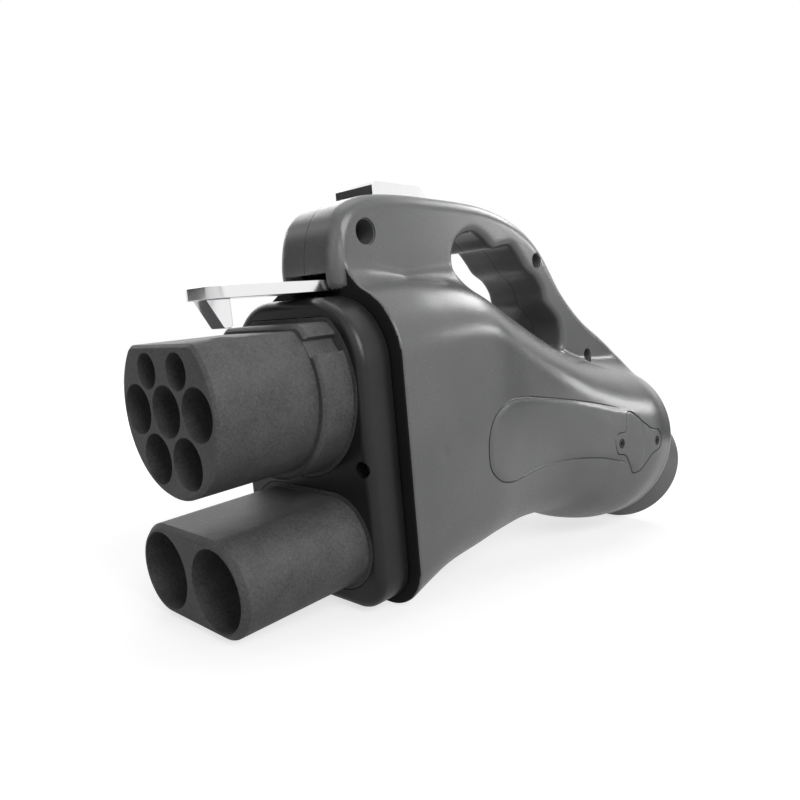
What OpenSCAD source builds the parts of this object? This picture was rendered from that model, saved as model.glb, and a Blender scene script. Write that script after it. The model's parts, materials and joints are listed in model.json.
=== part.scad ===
// Handheld charging adapter: combined plug at the front, pistol handle with a sprung latch on top,
// and a round inlet at the back. Everything is drawn in the plug's own frame first: X to the right,
// Y rearwards from the plug's front face, Z up, with the ground contact on the Y axis. It is then
// turned into the way it lies on a table.

/* [Upper plug] */
// Radius of the circle that the power contacts sit on
power_circle_r = 16.1; // [15.5:0.1:16.6]
// Radius of a power or ground hole
power_hole_r = 7.4; // [6.5:0.1:7.5]
// Radius of a signal hole
signal_hole_r = 5.15; // [4.5:0.05:5.3]
// Distance of each signal hole from the middle plane
signal_hole_x = 8.1; // [7.5:0.1:8.8]
// Height of the signal holes above the ground contact
signal_hole_z = 11.2; // [10.5:0.1:12]
// Depth of the contact holes
power_hole_depth = 36; // [28:1:42]
// Outer radius of the upper plug
upper_nose_r = 25.2; // [24.6:0.1:26]
// Height of its flat top above the ground contact
upper_flat_z = 18.5; // [17.5:0.1:20]
// How far the sleeve at its root stands proud
sleeve_step = 2.6; // [1.5:0.1:3.2]
// Length of that sleeve
sleeve_l = 11; // [8:0.5:16]
// Width of the two key slots in the sleeve
key_slot_w = 5.6; // [3:0.1:7]

/* [Lower plug] */
// Distance between the two direct current contacts
dc_spacing = 27; // [26:0.1:28]
// How far these contacts lie below the ground contact
dc_drop = 48.6; // [47.6:0.1:49.6]
// Radius of a direct current hole
dc_hole_r = 11.9; // [10.5:0.1:12.2]
// Wall outside these holes
dc_nose_wall = 2.25; // [1.6:0.05:2.6]
// Depth of these holes
dc_hole_depth = 38; // [30:1:42]

/* [Contacts] */
// Bore radius of a direct current contact
dc_bore_r = 4.05; // [3.5:0.05:4.5]
// Wall of a direct current contact
dc_contact_wall = 2.15; // [1.5:0.05:2.6]
// Bore radius of the ground contact
ground_bore_r = 3.05; // [2.5:0.05:3.3]
// Bore radius of a signal contact
signal_bore_r = 1.55; // [1.2:0.05:1.8]
// Wall of the small contacts
contact_wall = 1.1; // [0.8:0.05:1.4]
// How far the contacts stay back from the front face
contact_recess = 13; // [8:0.5:16]
// Depth of the contact bores
contact_bore_l = 25; // [20:1:28]

/* [Front plate] */
// Distance from the plug's front face to the plate
plate_y = 44; // [40:0.5:50]
// Thickness of the plate
plate_t = 13; // [11:0.5:16]
// Half width of the plate
plate_half_w = 32; // [31.8:0.1:33]
// Depth of the plate's bottom below the ground contact
plate_bottom = 69.7; // [68.5:0.1:70.5]
// Rounding of the plate's front edge
plate_edge_r = 3; // [1:0.1:4]
// Distance of the plate screws from the middle plane
plate_screw_x = 28.4; // [28:0.1:29]
// How far the plate screws lie below the ground contact
plate_screw_drop = 24; // [22.5:0.5:25.5]

/* [Housing] */
// Half width of the housing at its rim
rim_half_w = 36.5; // [35.5:0.1:38]
// Height of the rim's top above the ground contact
rim_top = 31.5; // [30.5:0.1:33]
// Depth of the rim's bottom below the ground contact
rim_bottom = 72.8; // [72:0.1:75]
// Half width at the waist
waist_half_w = 32.5; // [31:0.1:35]
// How far the barrel stands out around the inlet's collar
barrel_step = 9; // [8.5:0.1:10.5]
// Wall of the housing
wall = 2.8; // [2:0.1:3.2]
// How far the raised side panel stands out
panel_step = 0.45; // [0.3:0.05:0.8]

/* [Handle] */
// Half thickness of the handle
handle_half_t = 15; // [14:0.1:16]
// Rounding of the handle's outer edges
handle_edge_r = 5; // [2:0.1:6]
// Rounding of the edges of the finger opening
grip_edge_r = 2.4; // [1:0.1:3]
// Radius of the fillet between handle and housing
root_fillet_r = 9; // [5:0.5:12]

/* [Latch and button] */
// Half width of the latch bar
latch_half_w = 9.5; // [7:0.1:9.6]
// Thickness of the latch bar
latch_t = 3.6; // [2.5:0.1:4]
// Distance from the plug's front face to the end of the bar
latch_front = 13.8; // [10:0.1:20]
// Height of the bar's middle above the ground contact
latch_z = 31.1; // [30.8:0.1:31.6]
// Depth of the hook below the bar
hook_drop = 8.4; // [5:0.1:8.6]
// Half width of the hook at its root
hook_half_w = 3.5; // [2.5:0.1:5]
// Position of the latch pivot behind the front face
pivot_y = 66; // [64:0.5:68]
// Radius of the pivot pin
pivot_pin_r = 1.5; // [1.2:0.05:2]
// Position of the button's stem behind the front face
stem_y = 90; // [88:0.5:91]
// Travel of the button
button_travel = 3; // [2:0.1:3.2]
// Half width of the button
button_half_w = 9.2; // [7:0.1:9.6]
// Length of the button
button_l = 28.2; // [22:0.1:29]
// Height of the button's top above the ground contact
button_top = 64.5; // [63:0.1:66]

/* [Rear inlet] */
// Slope of the inlet below the plug's axis, in degrees
inlet_slope = 32; // [30:0.5:34]
// Radius of the inlet's collar
collar_r = 31.5; // [30.5:0.1:32.5]
// Wall of the inlet's collar
collar_wall = 3.5; // [2.5:0.1:4.5]
// How far the collar reaches behind the barrel's widest ring
collar_reach = 40.5; // [38:0.5:46]
// Depth of the inlet's cavity
inlet_depth = 30; // [26:0.5:32]
// Rounding of the collar's edge
collar_edge_r = 1.6; // [0.6:0.1:1.7]
// Radius of a direct current pin
inlet_pin_r = 6; // [5:0.1:6.5]
// Radius of the ground pin
inlet_ground_r = 3; // [2.5:0.1:4]
// Radius of a signal pin
inlet_signal_r = 1.5; // [1.2:0.1:2]

/* [Screws and clearances] */
// Radius of the front housing screw's well
well_r = 4; // [3.5:0.1:4.4]
// Radius of the other wells
small_well_r = 3; // [2.6:0.1:3.4]
// Radius of a screw shank
shank_r = 1.4; // [1:0.1:1.6]
// Clearance between fixed parts
fit_gap = 0.2; // [0.1:0.05:0.3]
// Running clearance of the latch on its pin
running_gap = 0.06; // [0.03:0.01:0.1]
// Clearance around the moving latch and button
moving_gap = 0.5; // [0.35:0.05:0.6]

/* [Hidden] */
// Set to false to see the part level, in the plug's own frame
lie = true;
round_fn = 64;
small_fn = 32;
// Overrun of a cut past the face that it goes through
over = 0.5;
mass_grey = "#4b4c50";
black = "#222326";
chrome = "#d8dadd";
copper = "#c98d5a";
silver = "#b9bcc0";
rubber = "#1a1a1b";
green = "#1f5a3a";

plate_back = plate_y + plate_t;
nose_edge = 1;
bore_gap = 0.05;
seal_t = 1;
flange_back = plate_back + 3;
front_wall_back = plate_back + 5.2;
insert_back = plate_back + 23;
retainer_t = 3;
tail_back = insert_back + retainer_t + 17;
root_r = upper_nose_r + 4.1;
dc_nose_r = dc_hole_r + dc_nose_wall;
dc_root_r = dc_nose_r + 1.7;
flange_step = 1.15;
flange_gap = 0.25;
dc_contact_r = dc_bore_r + dc_contact_wall;
ground_contact_r = ground_bore_r + contact_wall;
signal_contact_r = signal_bore_r + contact_wall;
tang_t = 3;
bolt_r = 1.5;
bar_half_h = 4.5;

barrel_r = collar_r + barrel_step;
inlet_r = collar_r - collar_wall;
side_in = barrel_r - 20.5;
side_out = barrel_r + 4.5;
barrel_centre = [241, -59];
barrel_tilt = 25;
top_corner_r = 25;
bottom_corner_r = 15;
rim_mid = (rim_top - rim_bottom) / 2;
rim_edge = 0.8;

// Key sections of the housing, front to back: place of the centre along Y and Z, tilt of the section,
// half width, reach up, reach down, upper corner radius, lower corner radius
KEYS = [
    [plate_back, rim_mid, 0, rim_half_w, rim_top - rim_mid, rim_bottom + rim_mid, top_corner_r, bottom_corner_r],
    [plate_back + 22, rim_mid, 0, rim_half_w - 0.3, rim_top - rim_mid, rim_bottom + rim_mid - 2, top_corner_r, 22],
    [plate_back + 48, rim_mid - 1, 3, rim_half_w - 2, 50.5, 50, 26, 28],
    [130, -26, 8, (rim_half_w + waist_half_w) / 2 - 1, 46, 48.6, 29, 30],
    [155, -32.5, 12, waist_half_w, 41.5, 43.2, 31, 31],
    [180, -40, 15, waist_half_w + 2.6, 37.5, 39.6, 34, 34],
    [205, -48, 18, barrel_r - 2, barrel_r - 2, barrel_r + 1, barrel_r - 2.5, barrel_r - 2.5],
    [226, -54.5, 22, barrel_r + 0.8, barrel_r + 0.3, barrel_r + 1.2, barrel_r, barrel_r],
    [barrel_centre[0], barrel_centre[1], barrel_tilt, barrel_r, barrel_r, barrel_r, barrel_r, barrel_r]
];
key_last = len(KEYS) - 1;

// Outline of the handle in the middle plane, along Y and Z
HANDLE = [
    [60, 24], [58, 27.6], [54.4, 29.8], [53.3, 35], [54, 42], [56.2, 49], [60.5, 54.6], [67, 57.9], [76, 59.5], [90, 59.9],
    [106, 59.4], [120, 58.8], [133, 57.6], [145, 55.2], [156, 51.6], [166, 46.4], [174.4, 39.8], [181.3, 32],
    [188.4, 23.6], [198.6, 14.6], [210.6, 6.2], [224.8, -1.4], [238.6, -9.6], [248.5, -17], [251, -26],
    [236, -34], [200, -20], [160, -8], [110, 6], [70, 12]
];
// Outline of the finger opening, with a hollow for each finger
GRIP = [
    [111.6, 33], [111.8, 40], [116, 45.3], [124.2, 47.8], [131.5, 45.6], [137.6, 41.6], [143.5, 42.2],
    [150.5, 42.4], [156, 38], [161, 32.8], [168, 28.9], [172.8, 23.6], [174.8, 18], [180.5, 13.6], [185.6, 8.6],
    [186.8, 1.5], [184.6, -6], [176, -14], [150, -2], [122, 12], [113.5, 24]
];
// Outline of the raised side panel
PANEL = [
    [215, -37], [201.1, -33.2], [182.5, -27.9], [161.7, -22.7], [138.4, -17.7], [128.2, -15.8], [116.4, -14.7],
    [108.4, -15.8], [102.5, -18.5], [98.9, -23.1], [97.4, -28.1], [97.3, -34], [99.1, -38.1], [103.3, -41.7],
    [108, -43.7], [114.3, -45], [125, -45.4], [138.1, -45.4], [154.1, -46.8], [171.2, -49.6], [186.8, -53.4],
    [199.8, -58.5], [212, -64]
];
// Outline of the service cover
COVER = [
    [202.4, -37.2], [204, -35.9], [206.8, -35.7], [210.1, -37.5], [218.8, -44.4], [223.3, -47], [228, -48.2],
    [230, -51.2], [229.4, -54.4], [227.2, -56.8], [221, -57.9], [218.1, -59.4], [212, -64], [208.2, -64.8],
    [205.4, -63.6], [198.6, -54.6], [193, -52.6], [190.9, -48.4], [191.8, -44.8], [194.6, -43.5], [199.4, -43.4]
];
// Its two screws: place along Y and Z, and how far out along X the underside of the head lies
cover_screws = [[195.4, -48.3, barrel_r - 4.5], [225.3, -52.9, barrel_r - 1]];
cover_t = 2.2;
cover_screw_r = 1.1;
cover_screw_l = 7;
socket_at = [212, -49];

// The three housing screws: place along Y and Z and radius of the well that each one sits in
HOUSING_SCREWS = [[67.5, 47, well_r], [168, 36, small_well_r], [209, -9.5, small_well_r]];
well_floor = 6;
housing_screw_l = 15;

latch_low = latch_z - latch_t / 2;
latch_high = latch_z + latch_t / 2;
pivot_boss_r = pivot_pin_r + 2.5;
slot_half_w = latch_half_w + 0.6;
tail_half_w = 5;
tail_end = stem_y + 7;
button_front = 78.3;
button_low = 50;
button_stop_z = 56.3;
stem_r = 3;
stem_gap = 0.3;
bridge_low = 38;
bridge_high = 41;
shelf_low = 15.8;
shelf_high = 19.8;
cavity_half_t = handle_half_t - wall;

inlet_floor = collar_reach - inlet_depth;
inlet_back = -12;
inlet_flange = -8;
inlet_flange_r = collar_r + 3.5;
rear_pin_x = dc_spacing / 2;
rear_pin_up = 2;
ground_pin_down = 14;
signal_pins = [[-6, 17], [6, 17], [-4.6, 6.4], [4.6, 6.4], [-17.5, -12], [17.5, -12]];
pin_tail = -30;
// How much thicker a large pin is inside the body, so that it is pushed in from behind
shank_step = 0.4;
bolt_back = -22;

// A direction and a place along the inlet's axis, in the middle plane
inlet_dir = [cos(inlet_slope), -sin(inlet_slope)];
inlet_up = [sin(inlet_slope), cos(inlet_slope)];
function on_inlet(along, up) = barrel_centre + along * inlet_dir + up * inlet_up;

// The part lies on its rim's lower edge and its collar: the line that touches both gives the turn
rim_touch = [plate_back + rim_edge, -rim_bottom];
collar_touch = on_inlet(collar_reach - collar_edge_r, collar_edge_r - collar_r);
touch_span = norm(collar_touch - rim_touch);
rest_angle = atan2(rim_touch[1] - collar_touch[1], collar_touch[0] - rim_touch[0]) + asin(collar_edge_r / touch_span);
function turned(p) = [p[0] * cos(rest_angle) - p[1] * sin(rest_angle), p[0] * sin(rest_angle) + p[1] * cos(rest_angle)];
front_end = turned([0, upper_flat_z - nose_edge])[0];
back_end = turned(on_inlet(collar_reach - collar_edge_r, collar_r - collar_edge_r))[0] + collar_edge_r;
rest_shift = [-(front_end + back_end) / 2, -turned(rim_touch)[1]];
module rest() {
    if (lie) translate([0, rest_shift[0], rest_shift[1]]) rotate([rest_angle, 0, 0]) children();
    else children();
}

// Ways to place what is drawn along Z: rearwards along Y, across along X, or along the inlet
module rearwards(x, y, z) translate([x, y, z]) rotate([-90, 0, 0]) children();
module across(x, y, z) translate([x, y, z]) rotate([0, 90, 0]) children();
module inlet_frame() translate([0, barrel_centre[0], barrel_centre[1]]) rotate([-90 - inlet_slope, 0, 0]) children();
module both_sides() {
    children();
    mirror([1, 0, 0]) children();
}

// The section at a place between two key sections, by a smooth curve through all of them
function held(i) = min(max(i, 0), key_last);
function blend4(a, b, c, d, f) =
    b + 0.5 * f * (c - a) + f * f * (a - 2.5 * b + 2 * c - 0.5 * d) + f * f * f * (1.5 * (b - c) + 0.5 * (d - a));
function section_at(t) = let (i = min(floor(t), key_last - 1), f = t - i)
    blend4(KEYS[held(i - 1)], KEYS[i], KEYS[i + 1], KEYS[held(i + 2)], f);

// One corner arc of a section, as points across and up
function corner(cx, cu, r, from, n) = [for (k = [0:n]) [cx + r * cos(from + 90 * k / n), cu + r * sin(from + 90 * k / n)]];
function rounded_ring(w, up, down, rt, rb, n) = concat(
    corner(w - rb, rb - down, rb, -90, n),
    corner(w - rt, up - rt, rt, 0, n),
    corner(rt - w, up - rt, rt, 90, n),
    corner(rb - w, rb - down, rb, 180, n));
function limited(r, w) = max(1, min(r, w - 0.3));
// The section's outline set inwards by d
function section_ring(s, d, n) =
    rounded_ring(s[3] - d, s[4] - d, s[5] - d, limited(s[6] - d, s[3] - d), limited(s[7] - d, s[3] - d), n);
// A point across, up and along a section, in the plug's frame
function place(s, x, u, along) = [x, s[0] + u * sin(s[2]) + along * cos(s[2]), s[1] + u * cos(s[2]) - along * sin(s[2])];

// A closed skin through rings of points that all have the same count
module skin(rings) {
    n = len(rings[0]);
    m = len(rings);
    points = [for (r = rings) for (p = r) p];
    sides = [for (i = [0:m - 2]) for (k = [0:n - 1])
        let (a = i * n + k, b = i * n + (k + 1) % n) each [[a, b, b + n], [a, b + n, a + n]]];
    caps = [[for (k = [n - 1:-1:0]) k], [for (k = [0:n - 1]) (m - 1) * n + k]];
    polyhedron(points = points, faces = concat(sides, caps), convexity = 8);
}

// The housing's outer form, or its cavity when set inwards; the back has a rounded shoulder
module body_form(d, first, edge) {
    step = 1 / 3;
    shoulder_r = 10 - d;
    front = [for (a = [0:1]) [section_at(first), d + edge * (1 - a), edge * a]];
    middle = [for (t = [first + step:step:key_last - step / 2]) [section_at(t), d, 0]];
    back = [for (a = [0:18:90]) [section_at(key_last), d + shoulder_r * (1 - cos(a)), shoulder_r * sin(a)]];
    skin([for (row = concat(front, middle, back))
        [for (p = section_ring(row[0], row[1], 8)) place(row[0], p[0], p[1], row[2])]]);
}
// The same form standing out by the panel's step, which fades away on the barrel
module panel_form() {
    skin([for (t = [1.2:0.3:7.21]) let (s = section_at(t), d = -panel_step * min(1, max(-0.2, (6.9 - t) / 1.6)))
        [for (p = section_ring(s, d, 8)) place(s, p[0], p[1], 0)]]);
}

function closed_curve(p, n) = let (m = len(p))
    [for (i = [0:m - 1]) for (k = [0:n - 1]) blend4(p[(i + m - 1) % m], p[i], p[(i + 1) % m], p[(i + 2) % m], k / n)];
function unit2(v) = v / norm(v);
// Moves each point of a closed outline inwards by d, the outline running clockwise
function inset2(p, d) = let (m = len(p))
    [for (i = [0:m - 1]) let (v = unit2(p[(i + 1) % m] - p[(i + m - 1) % m])) p[i] + d * [v[1], -v[0]]];
// A flat form whose outer edges are rounded, or flared for a cut
module slab(outline, half_t, r, flare) {
    sense = flare ? -1 : 1;
    left = [for (a = [0:22.5:90]) [-half_t + r * (1 - cos(a)), r * (1 - sin(a))]];
    right = [for (a = [0:22.5:90]) [half_t - r * (1 - sin(a)), r * (1 - cos(a))]];
    skin([for (row = concat(left, right)) [for (q = inset2(outline, sense * row[1])) [row[0], q[0], q[1]]]]);
}
module handle_form() slab(closed_curve(HANDLE, 3), handle_half_t, handle_edge_r, false);
module grip_cut() slab(closed_curve(GRIP, 3), handle_half_t + 0.01, grip_edge_r, true);
// An upright prism across the housing from one place on X to another
module side_prism(outline, x0, x1) across(x0, 0, 0) rotate([0, 0, 90]) linear_extrude(x1 - x0) polygon(outline);

// Fillet between the handle's sides and the housing, from one place along the housing to another
module root_fillet(t0, t1, r0, r1, rm) {
    steps = 8;
    skin([for (i = [0:steps])
        let (f = i / steps, s = section_at(t0 + (t1 - t0) * f),
            r = f < 0.5 ? r0 + (rm - r0) * 2 * f : rm + (r1 - rm) * (2 * f - 1),
            rt = limited(s[6], s[3]), cx = s[3] - rt, cu = s[4] - rt, fx = handle_half_t + r,
            du = sqrt((rt + r) * (rt + r) - (fx - cx) * (fx - cx)), from = atan2(-du, cx - fx),
            arc = [for (k = [0:6]) let (a = from - (180 + from) * k / 6) [fx + r * cos(a), cu + du + r * sin(a)]])
        [for (q = concat([[cavity_half_t, cu]], [[arc[0][0] - 1, arc[0][1] - 3]], arc, [[cavity_half_t, cu + du + 1]]))
            place(s, q[0], q[1], 0)]]);
}

// A bar along Y with a chamfered front edge
module round_bar(r, l, c) rearwards(0, 0, 0) rotate_extrude($fn = round_fn)
    polygon([[0, 0], [r - c, 0], [r, c], [r, l], [0, l]]);
// A block under a plane that faces up and sideways at an angle, with the same chamfer at its front
module plane_block(angle, d, l, c) rotate([0, 90 - angle, 0]) across(-80, 0, 0) rotate([0, 0, 90])
    linear_extrude(160) polygon([[0, -80], [0, d - c], [c, d], [l, d], [l, -80]]);
// A round bar with a flat top whose two corners are rounded off in small facets
module d_bar(r, flat, rc, l, c) {
    cx = sqrt((r - rc) * (r - rc) - (flat - rc) * (flat - rc));
    turn = atan2(flat - rc, cx);
    intersection() {
        round_bar(r, l, c);
        plane_block(90, flat, l, c);
        intersection_for(k = [1:3], side = [-1, 1]) {
            angle = turn + (90 - turn) * k / 4;
            plane_block(90 + side * (90 - angle), cx * cos(angle) + (flat - rc) * sin(angle) + rc, l, c);
        }
    }
}
// Two bars side by side with the space between them filled
module twin_bar(r, l, c) translate([0, 0, -dc_drop]) {
    half = dc_spacing / 2;
    both_sides() translate([half, 0, 0]) round_bar(r, l, c);
    across(-half, 0, 0) rotate([0, 0, 90]) linear_extrude(2 * half)
        polygon([[0, c - r], [c, -r], [l, -r], [l, r], [c, r], [0, r - c]]);
}
module key_slots(r) both_sides() rotate([0, -30.7, 0])
    translate([r, -over, -key_slot_w / 2]) cube([10, sleeve_l + 2 * over, key_slot_w]);

// A screw that points along Z, its head below the origin, with a cross recess
module screw(head_r, head_h, r, l) difference() {
    union() {
        translate([0, 0, -head_h]) cylinder(r = head_r, h = head_h, $fn = small_fn);
        cylinder(r = r, h = l, $fn = small_fn);
    }
    for (a = [0, 90]) rotate([0, 0, a]) translate([-0.6 * head_r, -0.3, -head_h - over]) cube([1.2 * head_r, 0.6, over + 0.45 * head_h]);
}
// A coil spring of the given height, built up of turns of wire
module coil(r, wire_r, h, turns) {
    n = 12;
    last = turns * n;
    skin([for (i = [0:last]) let (a = 360 * i / n, z = wire_r + (h - 2 * wire_r) * i / last)
        [for (k = [5:-1:0]) let (b = 60 * k) [(r + wire_r * cos(b)) * cos(a), (r + wire_r * cos(b)) * sin(a), z + wire_r * sin(b)]]]);
}

power_holes = [[-power_circle_r, 0], [power_circle_r, 0], [0, 0],
    [-power_circle_r / 2, -power_circle_r * sin(60)], [power_circle_r / 2, -power_circle_r * sin(60)]];
retainer_screw_at = [[-18, -13], [18, -13], [0, 12], [0, -dc_drop]];
module retainer_screw_holes(r, y0, y1) for (p = retainer_screw_at) rearwards(p[0], y0, p[1]) cylinder(r = r, h = y1 - y0, $fn = small_fn);

module ac_nose() color(black) difference() {
    union() {
        d_bar(upper_nose_r, upper_flat_z, 4, plate_y + 1, nose_edge);
        translate([0, plate_y - sleeve_l, 0]) difference() {
            d_bar(upper_nose_r + sleeve_step, upper_flat_z + 1.8, 5, sleeve_l + 1, 1.1);
            key_slots(upper_nose_r + 0.35);
        }
        translate([0, plate_y, 0]) d_bar(root_r, upper_flat_z + 3.2, 5.5, plate_t, 0);
        translate([0, plate_back - seal_t, 0])
            d_bar(root_r + flange_step, upper_flat_z + 4.3, 6.5, flange_back - plate_back + seal_t, 0);
        translate([0, flange_back - 1, 0]) d_bar(upper_nose_r + 1.3, upper_flat_z + 1, 4, insert_back - flange_back + 1, 0);
    }
    for (p = power_holes) rearwards(p[0], -over, p[1]) cylinder(r = power_hole_r, h = power_hole_depth + over, $fn = round_fn);
    both_sides() {
        rearwards(signal_hole_x, -over, signal_hole_z) cylinder(r = signal_hole_r, h = power_hole_depth + over, $fn = round_fn);
        rearwards(signal_hole_x, 0, signal_hole_z) cylinder(r = signal_contact_r + bore_gap, h = 100, $fn = small_fn);
        rearwards(signal_hole_x, insert_back - 2, signal_hole_z) cylinder(r = signal_contact_r + 1.2, h = 10, $fn = small_fn);
    }
    rearwards(0, 0, 0) cylinder(r = ground_contact_r + bore_gap, h = 100, $fn = small_fn);
    rearwards(0, insert_back - 2, 0) cylinder(r = ground_contact_r + 1.5, h = 10, $fn = small_fn);
    retainer_screw_holes(shank_r, insert_back - 11, insert_back + over);
}
module dc_nose() color(black) difference() {
    union() {
        twin_bar(dc_nose_r, plate_y + 1, 1.6);
        translate([0, plate_y, 0]) twin_bar(dc_root_r, plate_t, 0);
        translate([0, plate_back - seal_t, 0]) twin_bar(dc_root_r + flange_step, flange_back - plate_back + seal_t, 0);
        translate([0, flange_back - 1, 0]) twin_bar(dc_nose_r + 0.25, insert_back - flange_back + 1, 0);
    }
    both_sides() {
        rearwards(dc_spacing / 2, -over, -dc_drop) cylinder(r = dc_hole_r, h = dc_hole_depth + over, $fn = round_fn);
        rearwards(dc_spacing / 2, 0, -dc_drop) cylinder(r = dc_contact_r + bore_gap, h = 100, $fn = round_fn);
        rearwards(dc_spacing / 2, insert_back - 2, -dc_drop) cylinder(r = dc_contact_r + 1.5, h = 10, $fn = round_fn);
    }
    translate([-2, -over, -dc_drop - dc_nose_r - over]) cube([4, 6 + over, 1.3 + over]);
    retainer_screw_holes(shank_r, insert_back - 11, insert_back + over);
}

// Outline of the plate as a ring at a place along Y, set inwards by d
plate_mid = (27.5 - plate_bottom) / 2;
function plate_ring(y, d) = [for (p = rounded_ring(plate_half_w - d, 27.5 - plate_mid - d, plate_bottom + plate_mid - d, 21 - d, 11.5 - d, 10))
    [p[0], y, p[1] + plate_mid]];
module front_plate() color(black) difference() {
    skin(concat(
        [for (a = [0:15:90]) plate_ring(plate_y + plate_edge_r * (1 - cos(a)), plate_edge_r * (1 - sin(a)))],
        [plate_ring(plate_back - seal_t, 0)]));
    translate([0, plate_y - over, 0]) d_bar(root_r + fit_gap, upper_flat_z + 3.2 + fit_gap, 5.5 + fit_gap, plate_t + 2 * over, 0);
    translate([0, plate_y - over, 0]) twin_bar(dc_root_r + fit_gap, plate_t + 2 * over, 0);
    both_sides() {
        rearwards(plate_screw_x, plate_y - over, -plate_screw_drop) cylinder(r = shank_r + 0.2, h = plate_t + 2 * over, $fn = small_fn);
        rearwards(plate_screw_x, plate_y - over, -plate_screw_drop) cylinder(r = 2.6, h = 6.4 + over, $fn = small_fn);
    }
}
module plate_seal() color(rubber) difference() {
    skin([plate_ring(plate_back - seal_t, 0.9), plate_ring(plate_back, 0.9)]);
    translate([0, plate_back - 2 * seal_t, 0]) d_bar(root_r + flange_step + flange_gap, upper_flat_z + 4.3 + flange_gap, 6.5, 4 * seal_t, 0);
    translate([0, plate_back - 2 * seal_t, 0]) twin_bar(dc_root_r + flange_step + flange_gap, 4 * seal_t, 0);
    translate([-14, plate_back - 2 * seal_t, -34]) cube([28, 4 * seal_t, 6]);
    both_sides() rearwards(plate_screw_x, plate_back - 2 * seal_t, -plate_screw_drop) cylinder(r = shank_r + 0.2, h = 4 * seal_t, $fn = small_fn);
}
module plate_screws() color(silver) both_sides()
    rearwards(plate_screw_x, plate_y + 6.4, -plate_screw_drop) screw(2.4, 2.2, shank_r, 16);

// The two housing halves, drawn as the right one
module outer_form() {
    body_form(0, 0, rim_edge);
    difference() {
        handle_form();
        grip_cut();
    }
    root_fillet(0.04, 2.4, 8, 3, 9);
    root_fillet(5.35, 7.6, 2.5, 2, 7);
}
module inner_form() {
    body_form(wall, 0.318, 0);
    difference() {
        slab(inset2(closed_curve(HANDLE, 3), wall), cavity_half_t, 2.5, false);
        slab(inset2(closed_curve(GRIP, 3), -wall), handle_half_t + 1, 1, true);
        translate([-50, 0, -80]) cube([100, front_wall_back - 1.7, 200]);
    }
}
module ring_rib(z0, z1, r) inlet_frame() translate([0, 0, z0]) difference() {
    cylinder(r = barrel_r + 1, h = z1 - z0, $fn = round_fn);
    translate([0, 0, -over]) cylinder(r = r, h = z1 - z0 + 2 * over, $fn = round_fn);
}
module inner_fittings(right) {
    intersection() {
        body_form(1, 0, 0);
        union() {
            ring_rib(inlet_flange + seal_t, inlet_flange + seal_t + 3, collar_r - 0.8);
            ring_rib(inlet_back - 3, inlet_back, collar_r + 1.5);
            rearwards(plate_screw_x, front_wall_back - 1, -plate_screw_drop) cylinder(r = 4, h = 9, $fn = small_fn);
            for (z = [-11.6, -8]) translate([23, 98, z]) cube([14, 54, 2]);
            if (right) {
                difference() {
                    side_prism(inset2(COVER, -2.2), side_in, side_out);
                    body_form(5, 0, 0);
                }
                for (p = cover_screws) across(side_in + 7.5, p[0], p[1]) cylinder(r = 2.6, h = 14, $fn = small_fn);
                for (z = [socket_at[1] - 6.1, socket_at[1] + 4.1]) translate([side_in + 2, socket_at[0] - 8, z]) cube([12, 16, 2]);
            }
        }
    }
    for (h = HOUSING_SCREWS) across(0, h[0], h[1]) cylinder(r = h[2] + 2, h = cavity_half_t + 1, $fn = small_fn);
    across(latch_half_w + 0.4, pivot_y, latch_z) cylinder(r = pivot_boss_r, h = cavity_half_t + 1 - latch_half_w - 0.4, $fn = small_fn);
    translate([0, stem_y - 10, bridge_low]) cube([cavity_half_t + 1, 20, bridge_high - bridge_low]);
    translate([0, stem_y - 6, shelf_low]) cube([cavity_half_t + 1, 13, shelf_high - shelf_low]);
    translate([cavity_half_t, stem_y - 6, shelf_low]) cube([wall, 13, 34 - shelf_low]);
}
module shell_cuts() {
    translate([0, flange_back - 10, 0]) d_bar(root_r + flange_step + flange_gap, upper_flat_z + 4.3 + flange_gap, 6.5 + flange_gap, 10, 0);
    translate([0, flange_back - 10, 0]) twin_bar(dc_root_r + flange_step + flange_gap, 10, 0);
    translate([-14, flange_back - 10, -34]) cube([28, 10.3, 6]);
    translate([0, flange_back - 1, 0]) d_bar(upper_nose_r + 1.3 + flange_gap, upper_flat_z + 1 + flange_gap, 4, 8, 0);
    translate([0, flange_back - 1, 0]) twin_bar(dc_nose_r + 0.25 + flange_gap, 8, 0);
    translate([-slot_half_w, 40, latch_low - 0.4]) cube([2 * slot_half_w, 22.3, latch_t + 2.5]);
    translate([-button_half_w - moving_gap, button_front - moving_gap, button_low])
        cube([2 * (button_half_w + moving_gap), button_l + 2 * moving_gap, 14]);
    translate([0, stem_y, bridge_low - over]) cylinder(r = stem_r + 0.4, h = 4, $fn = small_fn);
    rearwards(plate_screw_x, plate_back - over, -plate_screw_drop) cylinder(r = shank_r, h = 14, $fn = small_fn);
    across(latch_half_w, pivot_y, latch_z) cylinder(r = pivot_pin_r, h = 4.3, $fn = small_fn);
    inlet_frame() translate([0, 0, inlet_flange + seal_t - over]) cylinder(r = collar_r + 0.4, h = 40, $fn = round_fn);
}
module shell_form(right) intersection() {
    union() {
        difference() {
            outer_form();
            inner_form();
        }
        inner_fittings(right);
        intersection() {
            panel_form();
            side_prism(closed_curve(PANEL, 3), side_in + 5, side_out);
            difference() {
                panel_form();
                body_form(1, 0, 0);
            }
        }
    }
    translate([0, 0, -150]) cube([100, 400, 300]);
}
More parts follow.
